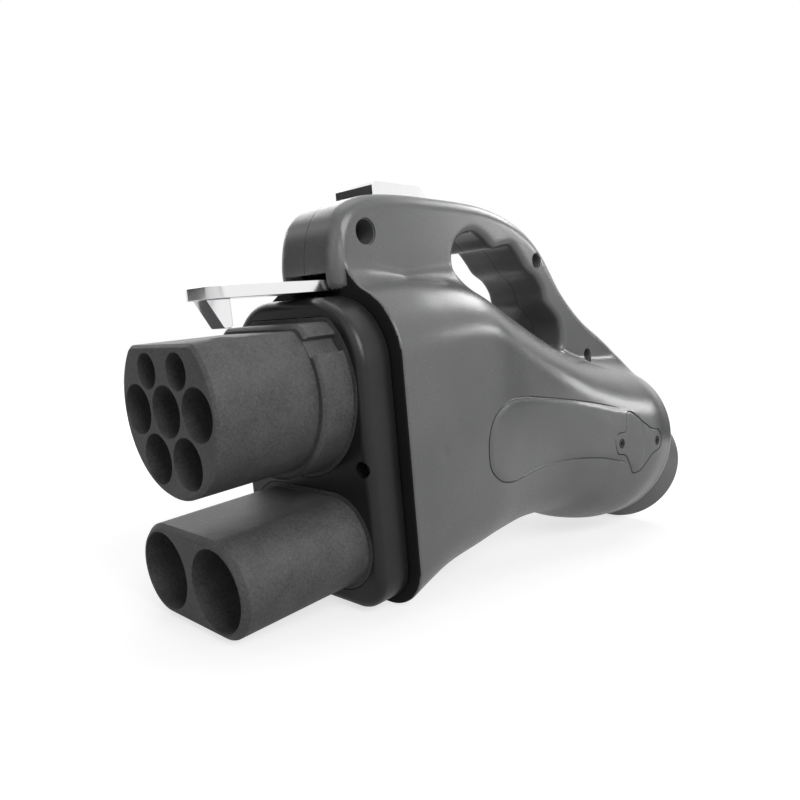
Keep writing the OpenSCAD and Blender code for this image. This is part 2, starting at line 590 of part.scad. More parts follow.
module shell_right() color(mass_grey) difference() {
    resize([0, 0, 0]) difference() {
        shell_form(true);
        difference() {
            side_prism(inset2(COVER, -0.25), side_in, side_out);
            body_form(cover_t, 0, 0);
        }
    }
    shell_cuts();
    for (h = HOUSING_SCREWS) {
        across(well_floor, h[0], h[1]) cylinder(r = h[2], h = 20, $fn = small_fn);
        across(-over, h[0], h[1]) cylinder(r = shank_r + 0.2, h = 20, $fn = small_fn);
    }
    for (p = cover_screws) across(p[2] - cover_screw_l - 0.5, p[0], p[1]) cylinder(r = cover_screw_r, h = 14, $fn = small_fn);
    translate([side_in, socket_at[0] - 6, socket_at[1] - 4]) cube([30, 12, 8]);
}
module shell_left() color(mass_grey) mirror([1, 0, 0]) difference() {
    resize([0, 0, 0]) shell_form(false);
    shell_cuts();
    for (h = HOUSING_SCREWS) across(-over, h[0], h[1]) cylinder(r = shank_r, h = housing_screw_l - well_floor + 1, $fn = small_fn);
}
module housing_screws() color(silver) for (h = HOUSING_SCREWS)
    across(well_floor, h[0], h[1]) mirror([0, 0, 1]) screw(2.5, 2.2, shank_r, housing_screw_l);

module service_cover() color(mass_grey) difference() {
    resize([0, 0, 0]) intersection() {
        side_prism(COVER, side_in, side_out);
        difference() {
            body_form(0, 0, 0);
            body_form(cover_t, 0, 0);
        }
    }
    for (p = cover_screws) {
        across(side_in, p[0], p[1]) cylinder(r = cover_screw_r + 0.2, h = 25, $fn = small_fn);
        across(p[2], p[0], p[1]) cylinder(r = 2.2, h = 8, $fn = small_fn);
    }
}
module service_cover_screws() color(silver) for (p = cover_screws)
    across(p[2], p[0], p[1]) mirror([0, 0, 1]) screw(1.9, 1.4, cover_screw_r, cover_screw_l);
module service_socket() color(black) difference() {
    translate([side_in - 1, socket_at[0] - 5.8, socket_at[1] - 3.8]) cube([16.5, 11.6, 7.6]);
    translate([side_in + 4, socket_at[0] - 4.5, socket_at[1] - 2.4]) cube([16, 9, 4.8]);
}

module release_button() color(chrome) {
    difference() {
        across(-button_half_w, 0, 0) rotate([0, 0, 90]) linear_extrude(2 * button_half_w)
            polygon([[button_front, button_low], [button_front, button_top - 1.2], [button_front + 1.2, button_top],
                [button_front + button_l - 4, button_top - 0.6], [button_front + button_l, button_top - 4.8],
                [button_front + button_l, button_low]]);
    }
    translate([-button_half_w - 1.4, button_front - 1.6, button_stop_z - 2.6]) cube([2 * button_half_w + 2.8, button_l + 3.2, 2.6]);
    translate([0, stem_y, latch_high + stem_gap + stem_r]) {
        cylinder(r = stem_r, h = button_low - latch_high - stem_gap - stem_r + 1, $fn = small_fn);
        sphere(r = stem_r, $fn = small_fn);
    }
}
module button_spring() color(silver) translate([0, stem_y, bridge_high]) coil(4.6, 0.5, button_low - bridge_high, 4);
module latch_lever() color(chrome) difference() {
    union() {
        translate([latch_half_w - 5, latch_front + 5, latch_low]) cylinder(r = 5, h = latch_t, $fn = round_fn);
        translate([5 - latch_half_w, latch_front + 5, latch_low]) cylinder(r = 5, h = latch_t, $fn = round_fn);
        translate([5 - latch_half_w, latch_front, latch_low]) cube([2 * latch_half_w - 10, 10, latch_t]);
        translate([-latch_half_w, latch_front + 5, latch_low]) cube([2 * latch_half_w, pivot_y + 5 - latch_front - 5, latch_t]);
        translate([-tail_half_w, pivot_y, latch_low]) cube([2 * tail_half_w, tail_end - pivot_y, latch_t]);
        across(-latch_half_w, pivot_y, latch_z) cylinder(r = pivot_boss_r, h = 2 * latch_half_w, $fn = round_fn);
        across(-hook_half_w, 0, 0) rotate([0, 0, 90]) linear_extrude(2 * hook_half_w)
            polygon([[14.5, latch_low + 1], [14.5, latch_low], [19.1, latch_low - hook_drop + 0.4], [19.5, latch_low - hook_drop],
                [21.6, latch_low - hook_drop], [22.3, latch_low - hook_drop + 0.8], [22.3, latch_low + 1]]);
    }
    across(-20, pivot_y, latch_z) cylinder(r = pivot_pin_r + running_gap, h = 40, $fn = round_fn);
}
module latch_pin() color(silver) across(-cavity_half_t - 1.4, pivot_y, latch_z)
    cylinder(r = pivot_pin_r, h = 2 * cavity_half_t + 2.8, $fn = round_fn);
module latch_spring() color(silver) translate([0, stem_y, shelf_high]) coil(3.2, 0.45, latch_low - shelf_high, 5);

module socket_contact(r, bore, collar, collar_w) difference() {
    union() {
        rearwards(0, contact_recess, 0) cylinder(r = r, h = insert_back + retainer_t + 2 - contact_recess, $fn = round_fn);
        rearwards(0, insert_back - 2, 0) cylinder(r = r + collar, h = 2, $fn = round_fn);
        intersection() {
            rearwards(0, insert_back, 0) cylinder(r = r, h = tail_back - insert_back, $fn = round_fn);
            translate([0, insert_back, -20]) cube([collar_w, 60, 40]);
        }
    }
    rearwards(0, contact_recess - over, 0) cylinder(r = bore, h = contact_bore_l + over, $fn = round_fn);
    across(-over, tail_back - 6, 0) cylinder(r = bolt_r, h = 20, $fn = small_fn);
}
module dc_contact() translate([dc_spacing / 2, 0, -dc_drop]) socket_contact(dc_contact_r, dc_bore_r, 1.3, tang_t);
module dc_contact_plus() color(silver) dc_contact();
module dc_contact_minus() color(silver) mirror([1, 0, 0]) dc_contact();
module pe_contact() color(silver) socket_contact(ground_contact_r, ground_bore_r, 1.3, tang_t);
module signal_contact() translate([signal_hole_x, 0, signal_hole_z]) difference() {
    union() {
        rearwards(0, contact_recess, 0) cylinder(r = signal_contact_r, h = insert_back + retainer_t + 6 - contact_recess, $fn = small_fn);
        rearwards(0, insert_back - 2, 0) cylinder(r = signal_contact_r + 1, h = 2, $fn = small_fn);
    }
    rearwards(0, contact_recess - over, 0) cylinder(r = signal_bore_r, h = contact_bore_l - 5 + over, $fn = small_fn);
    rearwards(0, insert_back + retainer_t + 1, 0) cylinder(r = 1.2, h = 8, $fn = small_fn);
}
module pilot_contact() color(silver) signal_contact();
module proximity_contact() color(silver) mirror([1, 0, 0]) signal_contact();
module contact_retainer() color(black) difference() {
    union() {
        translate([0, insert_back, 0]) d_bar(upper_nose_r - 0.2, upper_flat_z, 4, retainer_t, 0);
        translate([0, insert_back, 0]) twin_bar(dc_nose_r - 0.6, retainer_t, 0);
        translate([-9, insert_back, -40]) cube([18, retainer_t, 24]);
    }
    both_sides() {
        rearwards(dc_spacing / 2, insert_back - over, -dc_drop) cylinder(r = dc_contact_r + bore_gap, h = 10, $fn = round_fn);
        rearwards(signal_hole_x, insert_back - over, signal_hole_z) cylinder(r = signal_contact_r + bore_gap, h = 10, $fn = small_fn);
    }
    rearwards(0, insert_back - over, 0) cylinder(r = ground_contact_r + bore_gap, h = 10, $fn = small_fn);
    retainer_screw_holes(shank_r + 0.2, insert_back - over, insert_back + 10);
}
module retainer_screws() color(silver) for (p = retainer_screw_at)
    rearwards(p[0], insert_back + retainer_t, p[1]) mirror([0, 0, 1]) screw(2.6, 1.8, shank_r, 12);

// Flat bars that join the front contacts to the rear pins
front_bolt = [tail_back - 6, -dc_drop];
rear_bolt = on_inlet(bolt_back, rear_pin_up);
ground_bolts = [[tail_back - 6, 0], on_inlet(bolt_back, -ground_pin_down)];
// Outline of the ground strap: level from the contact, then down to the pin
strap_line = [[ground_bolts[0][0] - 3, -3], [ground_bolts[0][0] - 3, 3], [151, 3],
    ground_bolts[1] + [4.4, 0.6], ground_bolts[1] + [0, -4.6], [149, -3]];
module bar(p, q, half_h) translate([-tang_t, p[0], p[1]]) rotate([atan2(q[1] - p[1], q[0] - p[0]), 0, 0]) {
    l = norm(q - p) + half_h;
    side_prism([[-half_h, 1 - half_h], [-half_h, half_h - 1], [1 - half_h, half_h], [l - 1, half_h],
        [l, half_h - 1], [l, 1 - half_h], [l - 1, -half_h], [1 - half_h, -half_h]], 0, tang_t);
}
module busbar() translate([dc_spacing / 2, 0, 0]) difference() {
    bar(front_bolt, rear_bolt, bar_half_h);
    for (e = [front_bolt, rear_bolt]) across(-10, e[0], e[1]) cylinder(r = bolt_r + 0.1, h = 20, $fn = small_fn);
}
module busbar_plus() color(copper) busbar();
module busbar_minus() color(copper) mirror([1, 0, 0]) busbar();
module ground_strap() color(copper) difference() {
    side_prism(strap_line, -tang_t, 0);
    for (e = ground_bolts) across(-10, e[0], e[1]) cylinder(r = bolt_r + 0.1, h = 20, $fn = small_fn);
}
module bar_bolt(x, e) across(x - tang_t, e[0], e[1]) screw(2.7, 1.8, bolt_r, 2 * tang_t - 0.5);
module busbar_bolts() color(silver) {
    both_sides() {
        bar_bolt(dc_spacing / 2, front_bolt);
        bar_bolt(dc_spacing / 2, rear_bolt);
    }
    bar_bolt(0, ground_bolts[0]);
    bar_bolt(0, ground_bolts[1]);
}

// The rear inlet, in a frame whose Z runs out along its axis and whose Y points down
module rear_inlet() color(black) inlet_frame() difference() {
    rotate_extrude($fn = round_fn) polygon(concat(
        [[0, inlet_back], [inlet_flange_r, inlet_back], [inlet_flange_r, inlet_flange], [collar_r, inlet_flange]],
        [for (a = [0:22.5:90]) [collar_r - collar_edge_r * (1 - cos(a)), collar_reach - collar_edge_r * (1 - sin(a))]],
        [[inlet_r + 0.4, collar_reach], [inlet_r, collar_reach - 0.4], [inlet_r, inlet_floor], [0, inlet_floor]]));
    both_sides() translate([rear_pin_x, -rear_pin_up, -50]) cylinder(r = inlet_pin_r + shank_step + bore_gap, h = 100, $fn = round_fn);
    translate([0, ground_pin_down, -50]) cylinder(r = inlet_ground_r + shank_step + bore_gap, h = 100, $fn = small_fn);
    for (p = signal_pins) translate([p[0], -p[1], -50]) cylinder(r = inlet_signal_r + bore_gap, h = 100, $fn = small_fn);
}
module inlet_seal() color(rubber) inlet_frame() translate([0, 0, inlet_flange]) difference() {
    cylinder(r = inlet_flange_r - 0.5, h = seal_t, $fn = round_fn);
    translate([0, 0, -over]) cylinder(r = collar_r + 0.3, h = seal_t + 2 * over, $fn = round_fn);
}
// A pin of the inlet with its collar against the back and a flat tang for a bar
module inlet_pin(r, x, down, length) inlet_frame() translate([x, down, 0]) difference() {
    union() {
        rotate_extrude($fn = round_fn) polygon([[0, inlet_back - 4], [r + 1.2, inlet_back - 4], [r + 1.2, inlet_back],
            [r + shank_step, inlet_back], [r + shank_step, inlet_floor], [r, inlet_floor], [r, inlet_floor + length - 1.2], [r - 1.2, inlet_floor + length], [0, inlet_floor + length]]);
        intersection() {
            translate([0, 0, pin_tail]) cylinder(r = r + 1.2, h = 20, $fn = round_fn);
            translate([0, -20, pin_tail]) cube([tang_t, 40, 18]);
        }
    }
    translate([-over, 0, bolt_back]) rotate([0, 90, 0]) cylinder(r = bolt_r, h = 20, $fn = small_fn);
}
module inlet_pin_plus() color(silver) inlet_pin(inlet_pin_r, rear_pin_x, -rear_pin_up, 21);
module inlet_pin_minus() color(silver) mirror([1, 0, 0]) inlet_pin(inlet_pin_r, rear_pin_x, -rear_pin_up, 21);
module inlet_ground_pin() color(silver) inlet_pin(inlet_ground_r, 0, ground_pin_down, 23);
module inlet_signal_pins() color(silver) inlet_frame() for (p = signal_pins) translate([p[0], -p[1], 0])
    rotate_extrude($fn = small_fn) polygon([[0, inlet_back - 6], [inlet_signal_r + 0.8, inlet_back - 6], [inlet_signal_r + 0.8, inlet_back],
        [inlet_signal_r, inlet_back], [inlet_signal_r, inlet_floor + 17.4], [inlet_signal_r - 0.6, inlet_floor + 18], [0, inlet_floor + 18]]);

board_half_w = 26;
module control_board() color(green) {
    translate([-board_half_w, 100, -9.6]) cube([2 * board_half_w, 48, 1.6]);
    translate([8, 104, -8.5]) cube([13, 15, 9]);
    translate([-20, 106, -8.5]) cube([10, 10, 2.4]);
    translate([-19, 124, -8.5]) cube([8, 12, 5]);
    translate([9, 128, -8.5]) cube([10, 10, 2.4]);
}

rest() {
    ac_nose();
    dc_nose();
    front_plate();
    plate_seal();
    plate_screws();
    shell_right();
    shell_left();
    housing_screws();
    service_cover();
    service_cover_screws();
    service_socket();
    release_button();
    button_spring();
    latch_lever();
    latch_pin();
    latch_spring();
    dc_contact_plus();
    dc_contact_minus();
    pe_contact();
    pilot_contact();
    proximity_contact();
    contact_retainer();
    retainer_screws();
    busbar_plus();
    busbar_minus();
    ground_strap();
    busbar_bolts();
    rear_inlet();
    inlet_seal();
    inlet_pin_plus();
    inlet_pin_minus();
    inlet_ground_pin();
    inlet_signal_pins();
    control_board();
}
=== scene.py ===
import json
import math

import bmesh
import bpy
import numpy as np
from mathutils import Matrix, Vector


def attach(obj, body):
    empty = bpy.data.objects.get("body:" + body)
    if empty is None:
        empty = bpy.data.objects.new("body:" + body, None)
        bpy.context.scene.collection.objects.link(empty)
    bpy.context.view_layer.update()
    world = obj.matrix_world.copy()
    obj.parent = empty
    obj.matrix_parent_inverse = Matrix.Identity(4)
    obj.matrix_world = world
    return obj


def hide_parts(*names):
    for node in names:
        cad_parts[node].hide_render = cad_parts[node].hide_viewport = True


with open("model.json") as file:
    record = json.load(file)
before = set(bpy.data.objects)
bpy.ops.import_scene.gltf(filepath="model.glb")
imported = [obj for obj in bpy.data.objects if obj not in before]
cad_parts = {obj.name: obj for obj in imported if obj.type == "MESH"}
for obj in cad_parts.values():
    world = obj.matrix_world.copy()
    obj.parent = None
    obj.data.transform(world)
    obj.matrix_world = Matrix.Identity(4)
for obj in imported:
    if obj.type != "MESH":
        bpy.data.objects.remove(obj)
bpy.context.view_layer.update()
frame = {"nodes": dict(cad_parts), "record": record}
nodes = frame["nodes"]
bodies = frame["record"]["behaviour"]["bodies"]
body_of_node = {node: body for body, names in bodies.items() for node in names}
scene = bpy.context.scene

# The plug's own frame against the resting one: a turn about X, then a shift along Y and Z
REST_TURN = math.radians(9.57424)
REST_SHIFT = (0.0, -0.146755, 0.062172)
rest = Matrix.Translation(REST_SHIFT) @ Matrix.Rotation(REST_TURN, 4, "X")

# Places of a Mix node's factor, two colours and resulting colour, which share their names with others
MIX_FACTOR = 0
MIX_FIRST = 6
MIX_SECOND = 7
MIX_RESULT = 2


class Link:
    """A shader socket that adds and multiplies like a number, with one Math node for each step."""

    def __init__(self, tree, socket):
        self.tree = tree
        self.socket = socket

    def math(self, operation, other):
        """A Math node on this socket and another socket or number."""
        return self.tree.node("ShaderNodeMath", {"operation": operation}, [self, other])

    def __add__(self, other):
        return self.math("ADD", other)

    def __mul__(self, other):
        return self.math("MULTIPLY", other)

    __radd__ = __add__
    __rmul__ = __mul__


class Shading:
    """A node tree of a material or of the world, whose nodes are written as expressions."""

    def __init__(self, tree):
        self.tree = tree

    def feed(self, socket, value):
        """Links a socket to another one, or sets the value that it holds."""
        if isinstance(value, Link):
            self.tree.links.new(value.socket, socket)
        else:
            socket.default_value = value

    def node(self, kind, settings, values, output=0):
        """Any node: its settings first, then the values or links of its sockets, in order or by name."""
        made = self.tree.nodes.new(kind)
        for key, value in settings.items():
            setattr(made, key, value)
        pairs = values.items() if isinstance(values, dict) else enumerate(values)
        for key, value in pairs:
            self.feed(made.inputs[key], value)
        return Link(self, made.outputs[output]) if output is not None else made


class Finish(Shading):
    """A material: one main shader, and patterns that follow the piece's own place."""

    def __init__(self, name, color, roughness, metallic=0.0, specular=0.5):
        self.material = bpy.data.materials.new(name)
        self.material.use_nodes = True
        super().__init__(self.material.node_tree)
        self.shader = self.tree.nodes["Principled BSDF"]
        self.set("Base Color", (*color, 1.0))
        self.set("Roughness", roughness)
        self.set("Metallic", metallic)
        self.set("Specular IOR Level", specular)
        self.place = self.node("ShaderNodeTexCoord", {}, [], "Object")

    def set(self, socket, value):
        """Gives a socket of the main shader a link or a value."""
        self.feed(self.shader.inputs[socket], value)

    def noise(self, scale, detail=2.0, roughness=0.5):
        """Cloudy noise from 0 to 1 on the piece's own place, in cycles a metre."""
        values = {"Vector": self.place, "Scale": scale, "Detail": detail, "Roughness": roughness}
        return self.node("ShaderNodeTexNoise", {}, values, "Fac")

    def blend(self, mask, first, second):
        """The first colour where the mask is 0 and the second where it is 1."""
        values = {MIX_FACTOR: mask, MIX_FIRST: (*first, 1.0), MIX_SECOND: (*second, 1.0)}
        return self.node("ShaderNodeMix", {"data_type": "RGBA"}, values, MIX_RESULT)

    def limits(self, value, low, high):
        """The value stretched so that low becomes 0 and high becomes 1, and held there."""
        values = {"Value": value, "From Min": low, "From Max": high}
        return self.node("ShaderNodeMapRange", {"clamp": True}, values)

    def bump(self, height, strength, depth):
        """Lets a height, times a depth in metres, tilt the surface."""
        values = {"Height": height, "Strength": strength, "Distance": depth}
        self.set("Normal", self.node("ShaderNodeBump", {}, values, "Normal"))


# Plastics: the noise between which the shade changes, how far specks and clouds dull the gloss,
# and how much finer and weaker the second grain is
SHADE_FROM, SHADE_TO = 0.36, 0.64
SPECKS_DULL, CLOUDS_DULL = 0.16, 0.05
SECOND_GRAIN, SECOND_SHARE = 2.3, 0.5
GRAIN_STRENGTH = 0.6

# Plated metals: how far clouds and wiping marks dull the gloss, how much finer the marks are,
# how long the waves are against the clouds, and how much the marks tilt the surface
PLATE_CLOUDS_DULL, WIPES_DULL = 0.08, 0.05
WIPES_FINER, WAVES_FINER, WIPES_TILT = 9.0, 1.4, 0.04
WAVE_STRENGTH = 0.5


def grained_plastic(name, color, lighter, roughness, grain, grain_depth,
                    cloud=28.0, cloudy=0.55, specular=0.5):
    """Moulded plastic: broad clouds of shade, fine specks and an etched grain.

    The shade runs from the first colour to the lighter one with a share of clouds and the rest of
    specks. Grain and cloud are cycles a metre, and the grain's depth is in metres.
    """
    finish = Finish(name, color, roughness, specular=specular)
    clouds = finish.noise(cloud, 3.0)
    specks = finish.noise(grain, 4.0, 0.7)
    mask = finish.limits(clouds * cloudy + specks * (1.0 - cloudy), SHADE_FROM, SHADE_TO)
    finish.set("Base Color", finish.blend(mask, color, lighter))
    finish.set("Roughness", specks * SPECKS_DULL + (roughness - SPECKS_DULL / 2) + clouds * CLOUDS_DULL)
    height = specks + finish.noise(grain * SECOND_GRAIN, 2.0) * SECOND_SHARE
    finish.bump(height, GRAIN_STRENGTH, grain_depth)
    return finish.material


def plated_metal(name, color, roughness, waviness, cloud=60.0):
    """Plated or drawn metal: soft waves from casting and faint cloudy wiping marks."""
    finish = Finish(name, color, roughness, metallic=1.0)
    clouds = finish.noise(cloud, 4.0, 0.6)
    wipes = finish.noise(cloud * WIPES_FINER, 3.0, 0.6)
    finish.set("Roughness", roughness + clouds * PLATE_CLOUDS_DULL + wipes * WIPES_DULL)
    height = finish.noise(cloud * WAVES_FINER, 2.0) + wipes * WIPES_TILT
    finish.bump(height, WAVE_STRENGTH, waviness)
    return finish.material


housing_plastic = grained_plastic(
    "satin_dark_grey_shell", (0.118, 0.119, 0.121), (0.152, 0.153, 0.156), 0.22, 1500.0, 0.00006)
nose_plastic = grained_plastic(
    "charcoal_nose", (0.05, 0.05, 0.052), (0.108, 0.108, 0.111), 0.5, 1300.0, 0.00014,
    cloud=150.0, cloudy=0.3, specular=0.35)
plate_plastic = grained_plastic(
    "black_plate", (0.008, 0.008, 0.009), (0.014, 0.014, 0.015), 0.3, 1300.0, 0.00003, specular=0.4)
inlet_plastic = grained_plastic(
    "grey_inlet", (0.085, 0.085, 0.088), (0.11, 0.11, 0.113), 0.42, 1200.0, 0.00003)
# Black rubber of the soft seals, also put on the housing rim's front faces as painted shade of the gap to
# the plate
seal_rubber_and_rim_shade = grained_plastic(
    "soft_seal_and_rim_shade", (0.006, 0.006, 0.006), (0.012, 0.012, 0.012), 0.7, 1600.0, 0.00005, specular=0.2)
board_green = grained_plastic(
    "solder_mask", (0.01, 0.09, 0.04), (0.02, 0.13, 0.06), 0.35, 600.0, 0.00003)
chrome_plate = plated_metal("bright_plate", (0.86, 0.86, 0.87), 0.07, 0.0002)
steel = plated_metal("plain_steel", (0.5, 0.51, 0.53), 0.28, 0.00005)
dark_steel = plated_metal("blackened_steel", (0.07, 0.07, 0.075), 0.4, 0.00005)
silvered = plated_metal("silvered_contact", (0.72, 0.71, 0.68), 0.25, 0.00005)
bare_copper = plated_metal("bare_copper", (0.75, 0.36, 0.22), 0.3, 0.00006)

# How near points are to be joined, in metres, and the angles up to which faces are one flat
# and up to which they shade as one curve, on the solids' copies and on the housing's own skin
NODE_WELD = 2e-6
SKIN_WELD = 4e-6
FLAT_ANGLE = math.radians(0.4)
NODE_SHARP = math.radians(32.0)
SKIN_SHARP = math.radians(34.0)


def smooth_shaded(mesh, sharp):
    """Shades a mesh as one curve wherever its faces meet at less than an angle."""
    mesh.polygons.foreach_set("use_smooth", np.ones(len(mesh.polygons), dtype=bool))
    mesh.set_sharp_from_angle(angle=sharp)


def evenly_shaded(piece):
    """Lets large faces outweigh small ones in the shading."""
    weights = piece.modifiers.new("even_shading", "WEIGHTED_NORMAL")
    weights.keep_sharp = True


def dressed(node, finish, bevel):
    """A welded copy of a node with its flat facets joined and its edges rounded, which stands for it."""
    mesh = nodes[node].data.copy()
    form = bmesh.new()
    form.from_mesh(mesh)
    bmesh.ops.remove_doubles(form, verts=form.verts, dist=NODE_WELD)
    bmesh.ops.dissolve_limit(form, angle_limit=FLAT_ANGLE, verts=form.verts, edges=form.edges)
    form.to_mesh(mesh)
    form.free()
    mesh.materials.clear()
    mesh.materials.append(finish)
    smooth_shaded(mesh, NODE_SHARP)
    piece = bpy.data.objects.new(node + "_shown", mesh)
    scene.collection.objects.link(piece)
    if bevel:
        rounding = piece.modifiers.new("rounded_edges", "BEVEL")
        rounding.width = bevel
        rounding.segments = 3
        rounding.limit_method = "ANGLE"
        rounding.angle_limit = NODE_SHARP
        rounding.harden_normals = True
    else:
        evenly_shaded(piece)
    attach(piece, body_of_node[node])
    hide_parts(node)


# Nodes that get rounded edges, with the width of the rounding in metres
DRESS = {
    "ac_nose": (nose_plastic, 0.0003),
    "dc_nose": (nose_plastic, 0.0003),
    "front_plate": (plate_plastic, 0.0),
    "release_button": (chrome_plate, 0.0004),
    "latch_lever": (chrome_plate, 0.0006),
    "rear_inlet": (inlet_plastic, 0.0004),
}
# Nodes that keep their own faces and get a finish alone
PAINT = {
    seal_rubber_and_rim_shade: ["plate_seal", "inlet_seal"],
    plate_plastic: ["service_socket", "contact_retainer"],
    board_green: ["control_board"],
    steel: ["button_spring", "latch_pin", "latch_spring", "busbar_bolts"],
    dark_steel: ["plate_screws", "housing_screws", "service_cover_screws", "retainer_screws"],
    bare_copper: ["busbar_plus", "busbar_minus", "ground_strap"],
    silvered: [
        "dc_contact_plus", "dc_contact_minus", "pe_contact", "pilot_contact", "proximity_contact",
        "inlet_pin_plus", "inlet_pin_minus", "inlet_ground_pin", "inlet_signal_pins",
    ],
}
for node, (finish, bevel) in DRESS.items():
    dressed(node, finish, bevel)
for finish, painted in PAINT.items():
    for node in painted:
        slots = nodes[node].data.materials
        slots.clear()
        slots.append(finish)


# Sizes of the housing in millimetres, in the plug's own frame: X right, Y rearwards, Z up.
# Above the ledge the front wall is thinner, and the seam is half the gap between the two halves
MM = 0.001
PLATE_BACK = 57.0
FRONT_WALL_BACK = 62.2
LEDGE_Z, LEDGE = 29, 1.7
WALL = 2.8
RIM_EDGE = 1.0
SHOULDER = 10.0
LEAST_FLAT = 0.3
HANDLE_HALF = 15.0
HANDLE_FOOT_Z = 30
HANDLE_EDGE = 5.0
GRIP_EDGE = 2.4
SEAM = 0.13
BARREL = (241.0, -59.0)
INLET_SLOPE = math.radians(32.0)

# The raised panel: its step, how wide the step's slope is, how far out from the middle plane it can lie,
# where it fades among the key sections, and the groove around it, which rises out of the skin rearwards
PANEL_STEP = 0.45
PANEL_SLOPE = 2.2
PANEL_OUT = 20.0
PANEL_FADE_END, PANEL_FADE = 6.9, 1.6
GROOVE_R = 0.42
GROOVE_SIDES = 8
GROOVE_RISE = (188.0, 206.0)

# The gate mark, a shallow round hollow
DIMPLE = (73.0, -25.0)
DIMPLE_R = 1.9
DIMPLE_DEPTH = 0.35

# The fillet between body and handle along Y, its least width, and the stretch of X over which it grows
FILLET_Y = [57, 66, 84, 100, 112, 120, 180, 200, 214, 232, 245]
FILLET_R = [8, 7, 3, 6, 9, 6, 3, 2, 4, 7, 7]
FILLET_LEAST = 1.2
FILLET_GROWS = (8.0, 14.0)
RIM_FILLET = 0.6

# The service cover: thickness, edge rounding, gap in its pocket and the wider lead at the pocket's edge
COVER_T = 2.2
COVER_EDGE = 0.45
COVER_GAP = 0.3
LEAD_GAP, LEAD_DEPTH = 0.55, 0.35
COVER_FROM = 20.0
# Under the cover the wall is thicker by the bed, which starts a little outside the cover's outline
COVER_BED, COVER_BED_BEYOND = 2.4, 3.0
COVER_TIGHT = 0.02
# A box around the cover: middle and half size along Y and Z, and how near to the middle plane it starts
COVER_BOX_MID, COVER_BOX_HALF, COVER_BOX_FROM = (211, -50), (30, 24), 16

# Screws along X: place (Y, Z), then the radius of the well, or the place of the cover screw's head
HOUSING_SCREWS = [(67.5, 47.0, 4.0), (168.0, 36.0, 3.0), (209.0, -9.5, 3.0)]
WELL_FLOOR = 6.0
WELL_RING, WELL_RING_DEPTH = 0.4, 0.35
BOSS_WALL, BOSS_REACH = 2.0, 13.4
SHANK_HOLE_R = 1.6
COVER_SCREWS = [(195.4, -48.3, 36.0), (225.3, -52.9, 39.5)]
COVER_SCREW_HOLE_R, COVER_SCREW_DEPTH = 1.1, 7.5
COVER_HOLE_R, COVER_HEAD_R = 1.3, 2.2

# Seats and openings: a stretch along Y, radii with the height of the flat, and blocks by two corners
FLANGE_SEAT = (50, 60)
AC_FLANGE = (30.7, 23.05)
DC_FLANGE_R = 17.25
NECK = ((-14, 50, -34), (14, 60.3, -28))
INSERT_HOLE = (59, 67)
AC_INSERT = (26.75, 19.75)
DC_INSERT_R = 14.65
DC_DROP, DC_HALF_SPACING = 48.6, 13.5
LATCH_SLOT = ((-10.1, 40, 28.9), (10.1, 62.3, 35.0))
BUTTON_FRAME = ((-9.7, 77.8, 50), (9.7, 107.0, 66))
BRIDGE = ((SEAM, 80, 38), (13.2, 100, 41))
STEM_AT, STEM_HOLE_R, STEM_HOLE = (0, 90), 3.4, (37.5, 41.5)
INLET_BORE_R, INLET_BORE = 31.9, (-7.5, 33)
SOCKET_OPENING = ((20, 206, -53), (50, 218, -45))

# How far tools reach along X to come out of the handle, of the cover's side, and past the middle plane
PAST_HANDLE, PAST_SIDE = 30, 50
SKIN_PAST_MIDDLE, HOLLOW_PAST_MIDDLE = 1.6, 1.3
HALF_SPACE = ((SEAM, 40, -120), (60, 300, 80))

# Working grids: two corners around the surface, then the size of a cell
SKIN_GRID = ((-3.0, 50, -106), (45.0, 272, 63), 1.0)
HOLLOW_GRID = ((-2.5, 56, -104), (44.5, 270, 62), 1.6)
POCKET_GRID = ((12, 176, -80), (46, 246, -20), 1.0)
COVER_GRID = ((17, 187, -69), (45, 234, -31), 0.5)
# The rim's stretch of the skin along Y, where cells are thinner
RIM_STRETCH = (56.5, 59.0)
THIN_CELL = 0.3

# Key sections, front to back: centre along Y and Z, tilt in degrees, half width, reach up, reach down,
# upper and lower corner radius
KEYS = np.array([
    [57, -20.65, 0, 36.5, 52.15, 52.15, 25, 15],
    [79, -20.65, 0, 36.4, 52.15, 50.15, 23, 22],
    [105, -21.65, 3, 35.3, 50.5, 50, 22, 26],
    [130, -26, 8, 32.3, 46, 48.6, 27, 30],
    [155, -32.5, 12, 31.8, 41.5, 43.2, 31, 31],
    [180, -40, 15, 34.9, 37.5, 39.6, 34, 34],
    [205, -48, 18, 38.5, 38.5, 41.5, 38, 38],
    [226, -54.5, 22, 41.3, 40.8, 41.7, 40.5, 40.5],
    [241, -59, 25, 40.5, 40.5, 40.5, 40.5, 40.5],
], float)
LAST_KEY = len(KEYS) - 1
# Outlines as (Y, Z): handle, finger opening, raised panel and service cover
HANDLE = [
    [60, 24], [58, 27.6], [54.4, 29.8], [53.3, 35], [54, 42], [56.2, 49], [60.5, 54.6], [67, 57.9],
    [76, 59.5], [90, 59.9], [106, 59.4], [120, 58.8], [133, 57.6], [145, 55.2], [156, 51.6],
    [166, 46.4], [174.4, 39.8], [181.3, 32], [188.4, 23.6], [198.6, 14.6], [210.6, 6.2],
    [224.8, -1.4], [238.6, -9.6], [248.5, -17], [251, -26], [236, -34], [200, -20], [160, -8],
    [110, 6], [70, 12],
]
GRIP = [
    [111.6, 33], [111.8, 40], [116, 45.3], [124.2, 47.8], [131.5, 45.6], [137.6, 41.6],
    [143.5, 42.2], [150.5, 42.4], [156, 38], [161, 32.8], [168, 28.9], [172.8, 23.6], [174.8, 18],
    [180.5, 13.6], [185.6, 8.6], [186.8, 1.5], [184.6, -6], [176, -14], [150, -2], [122, 12],
    [113.5, 24],
]
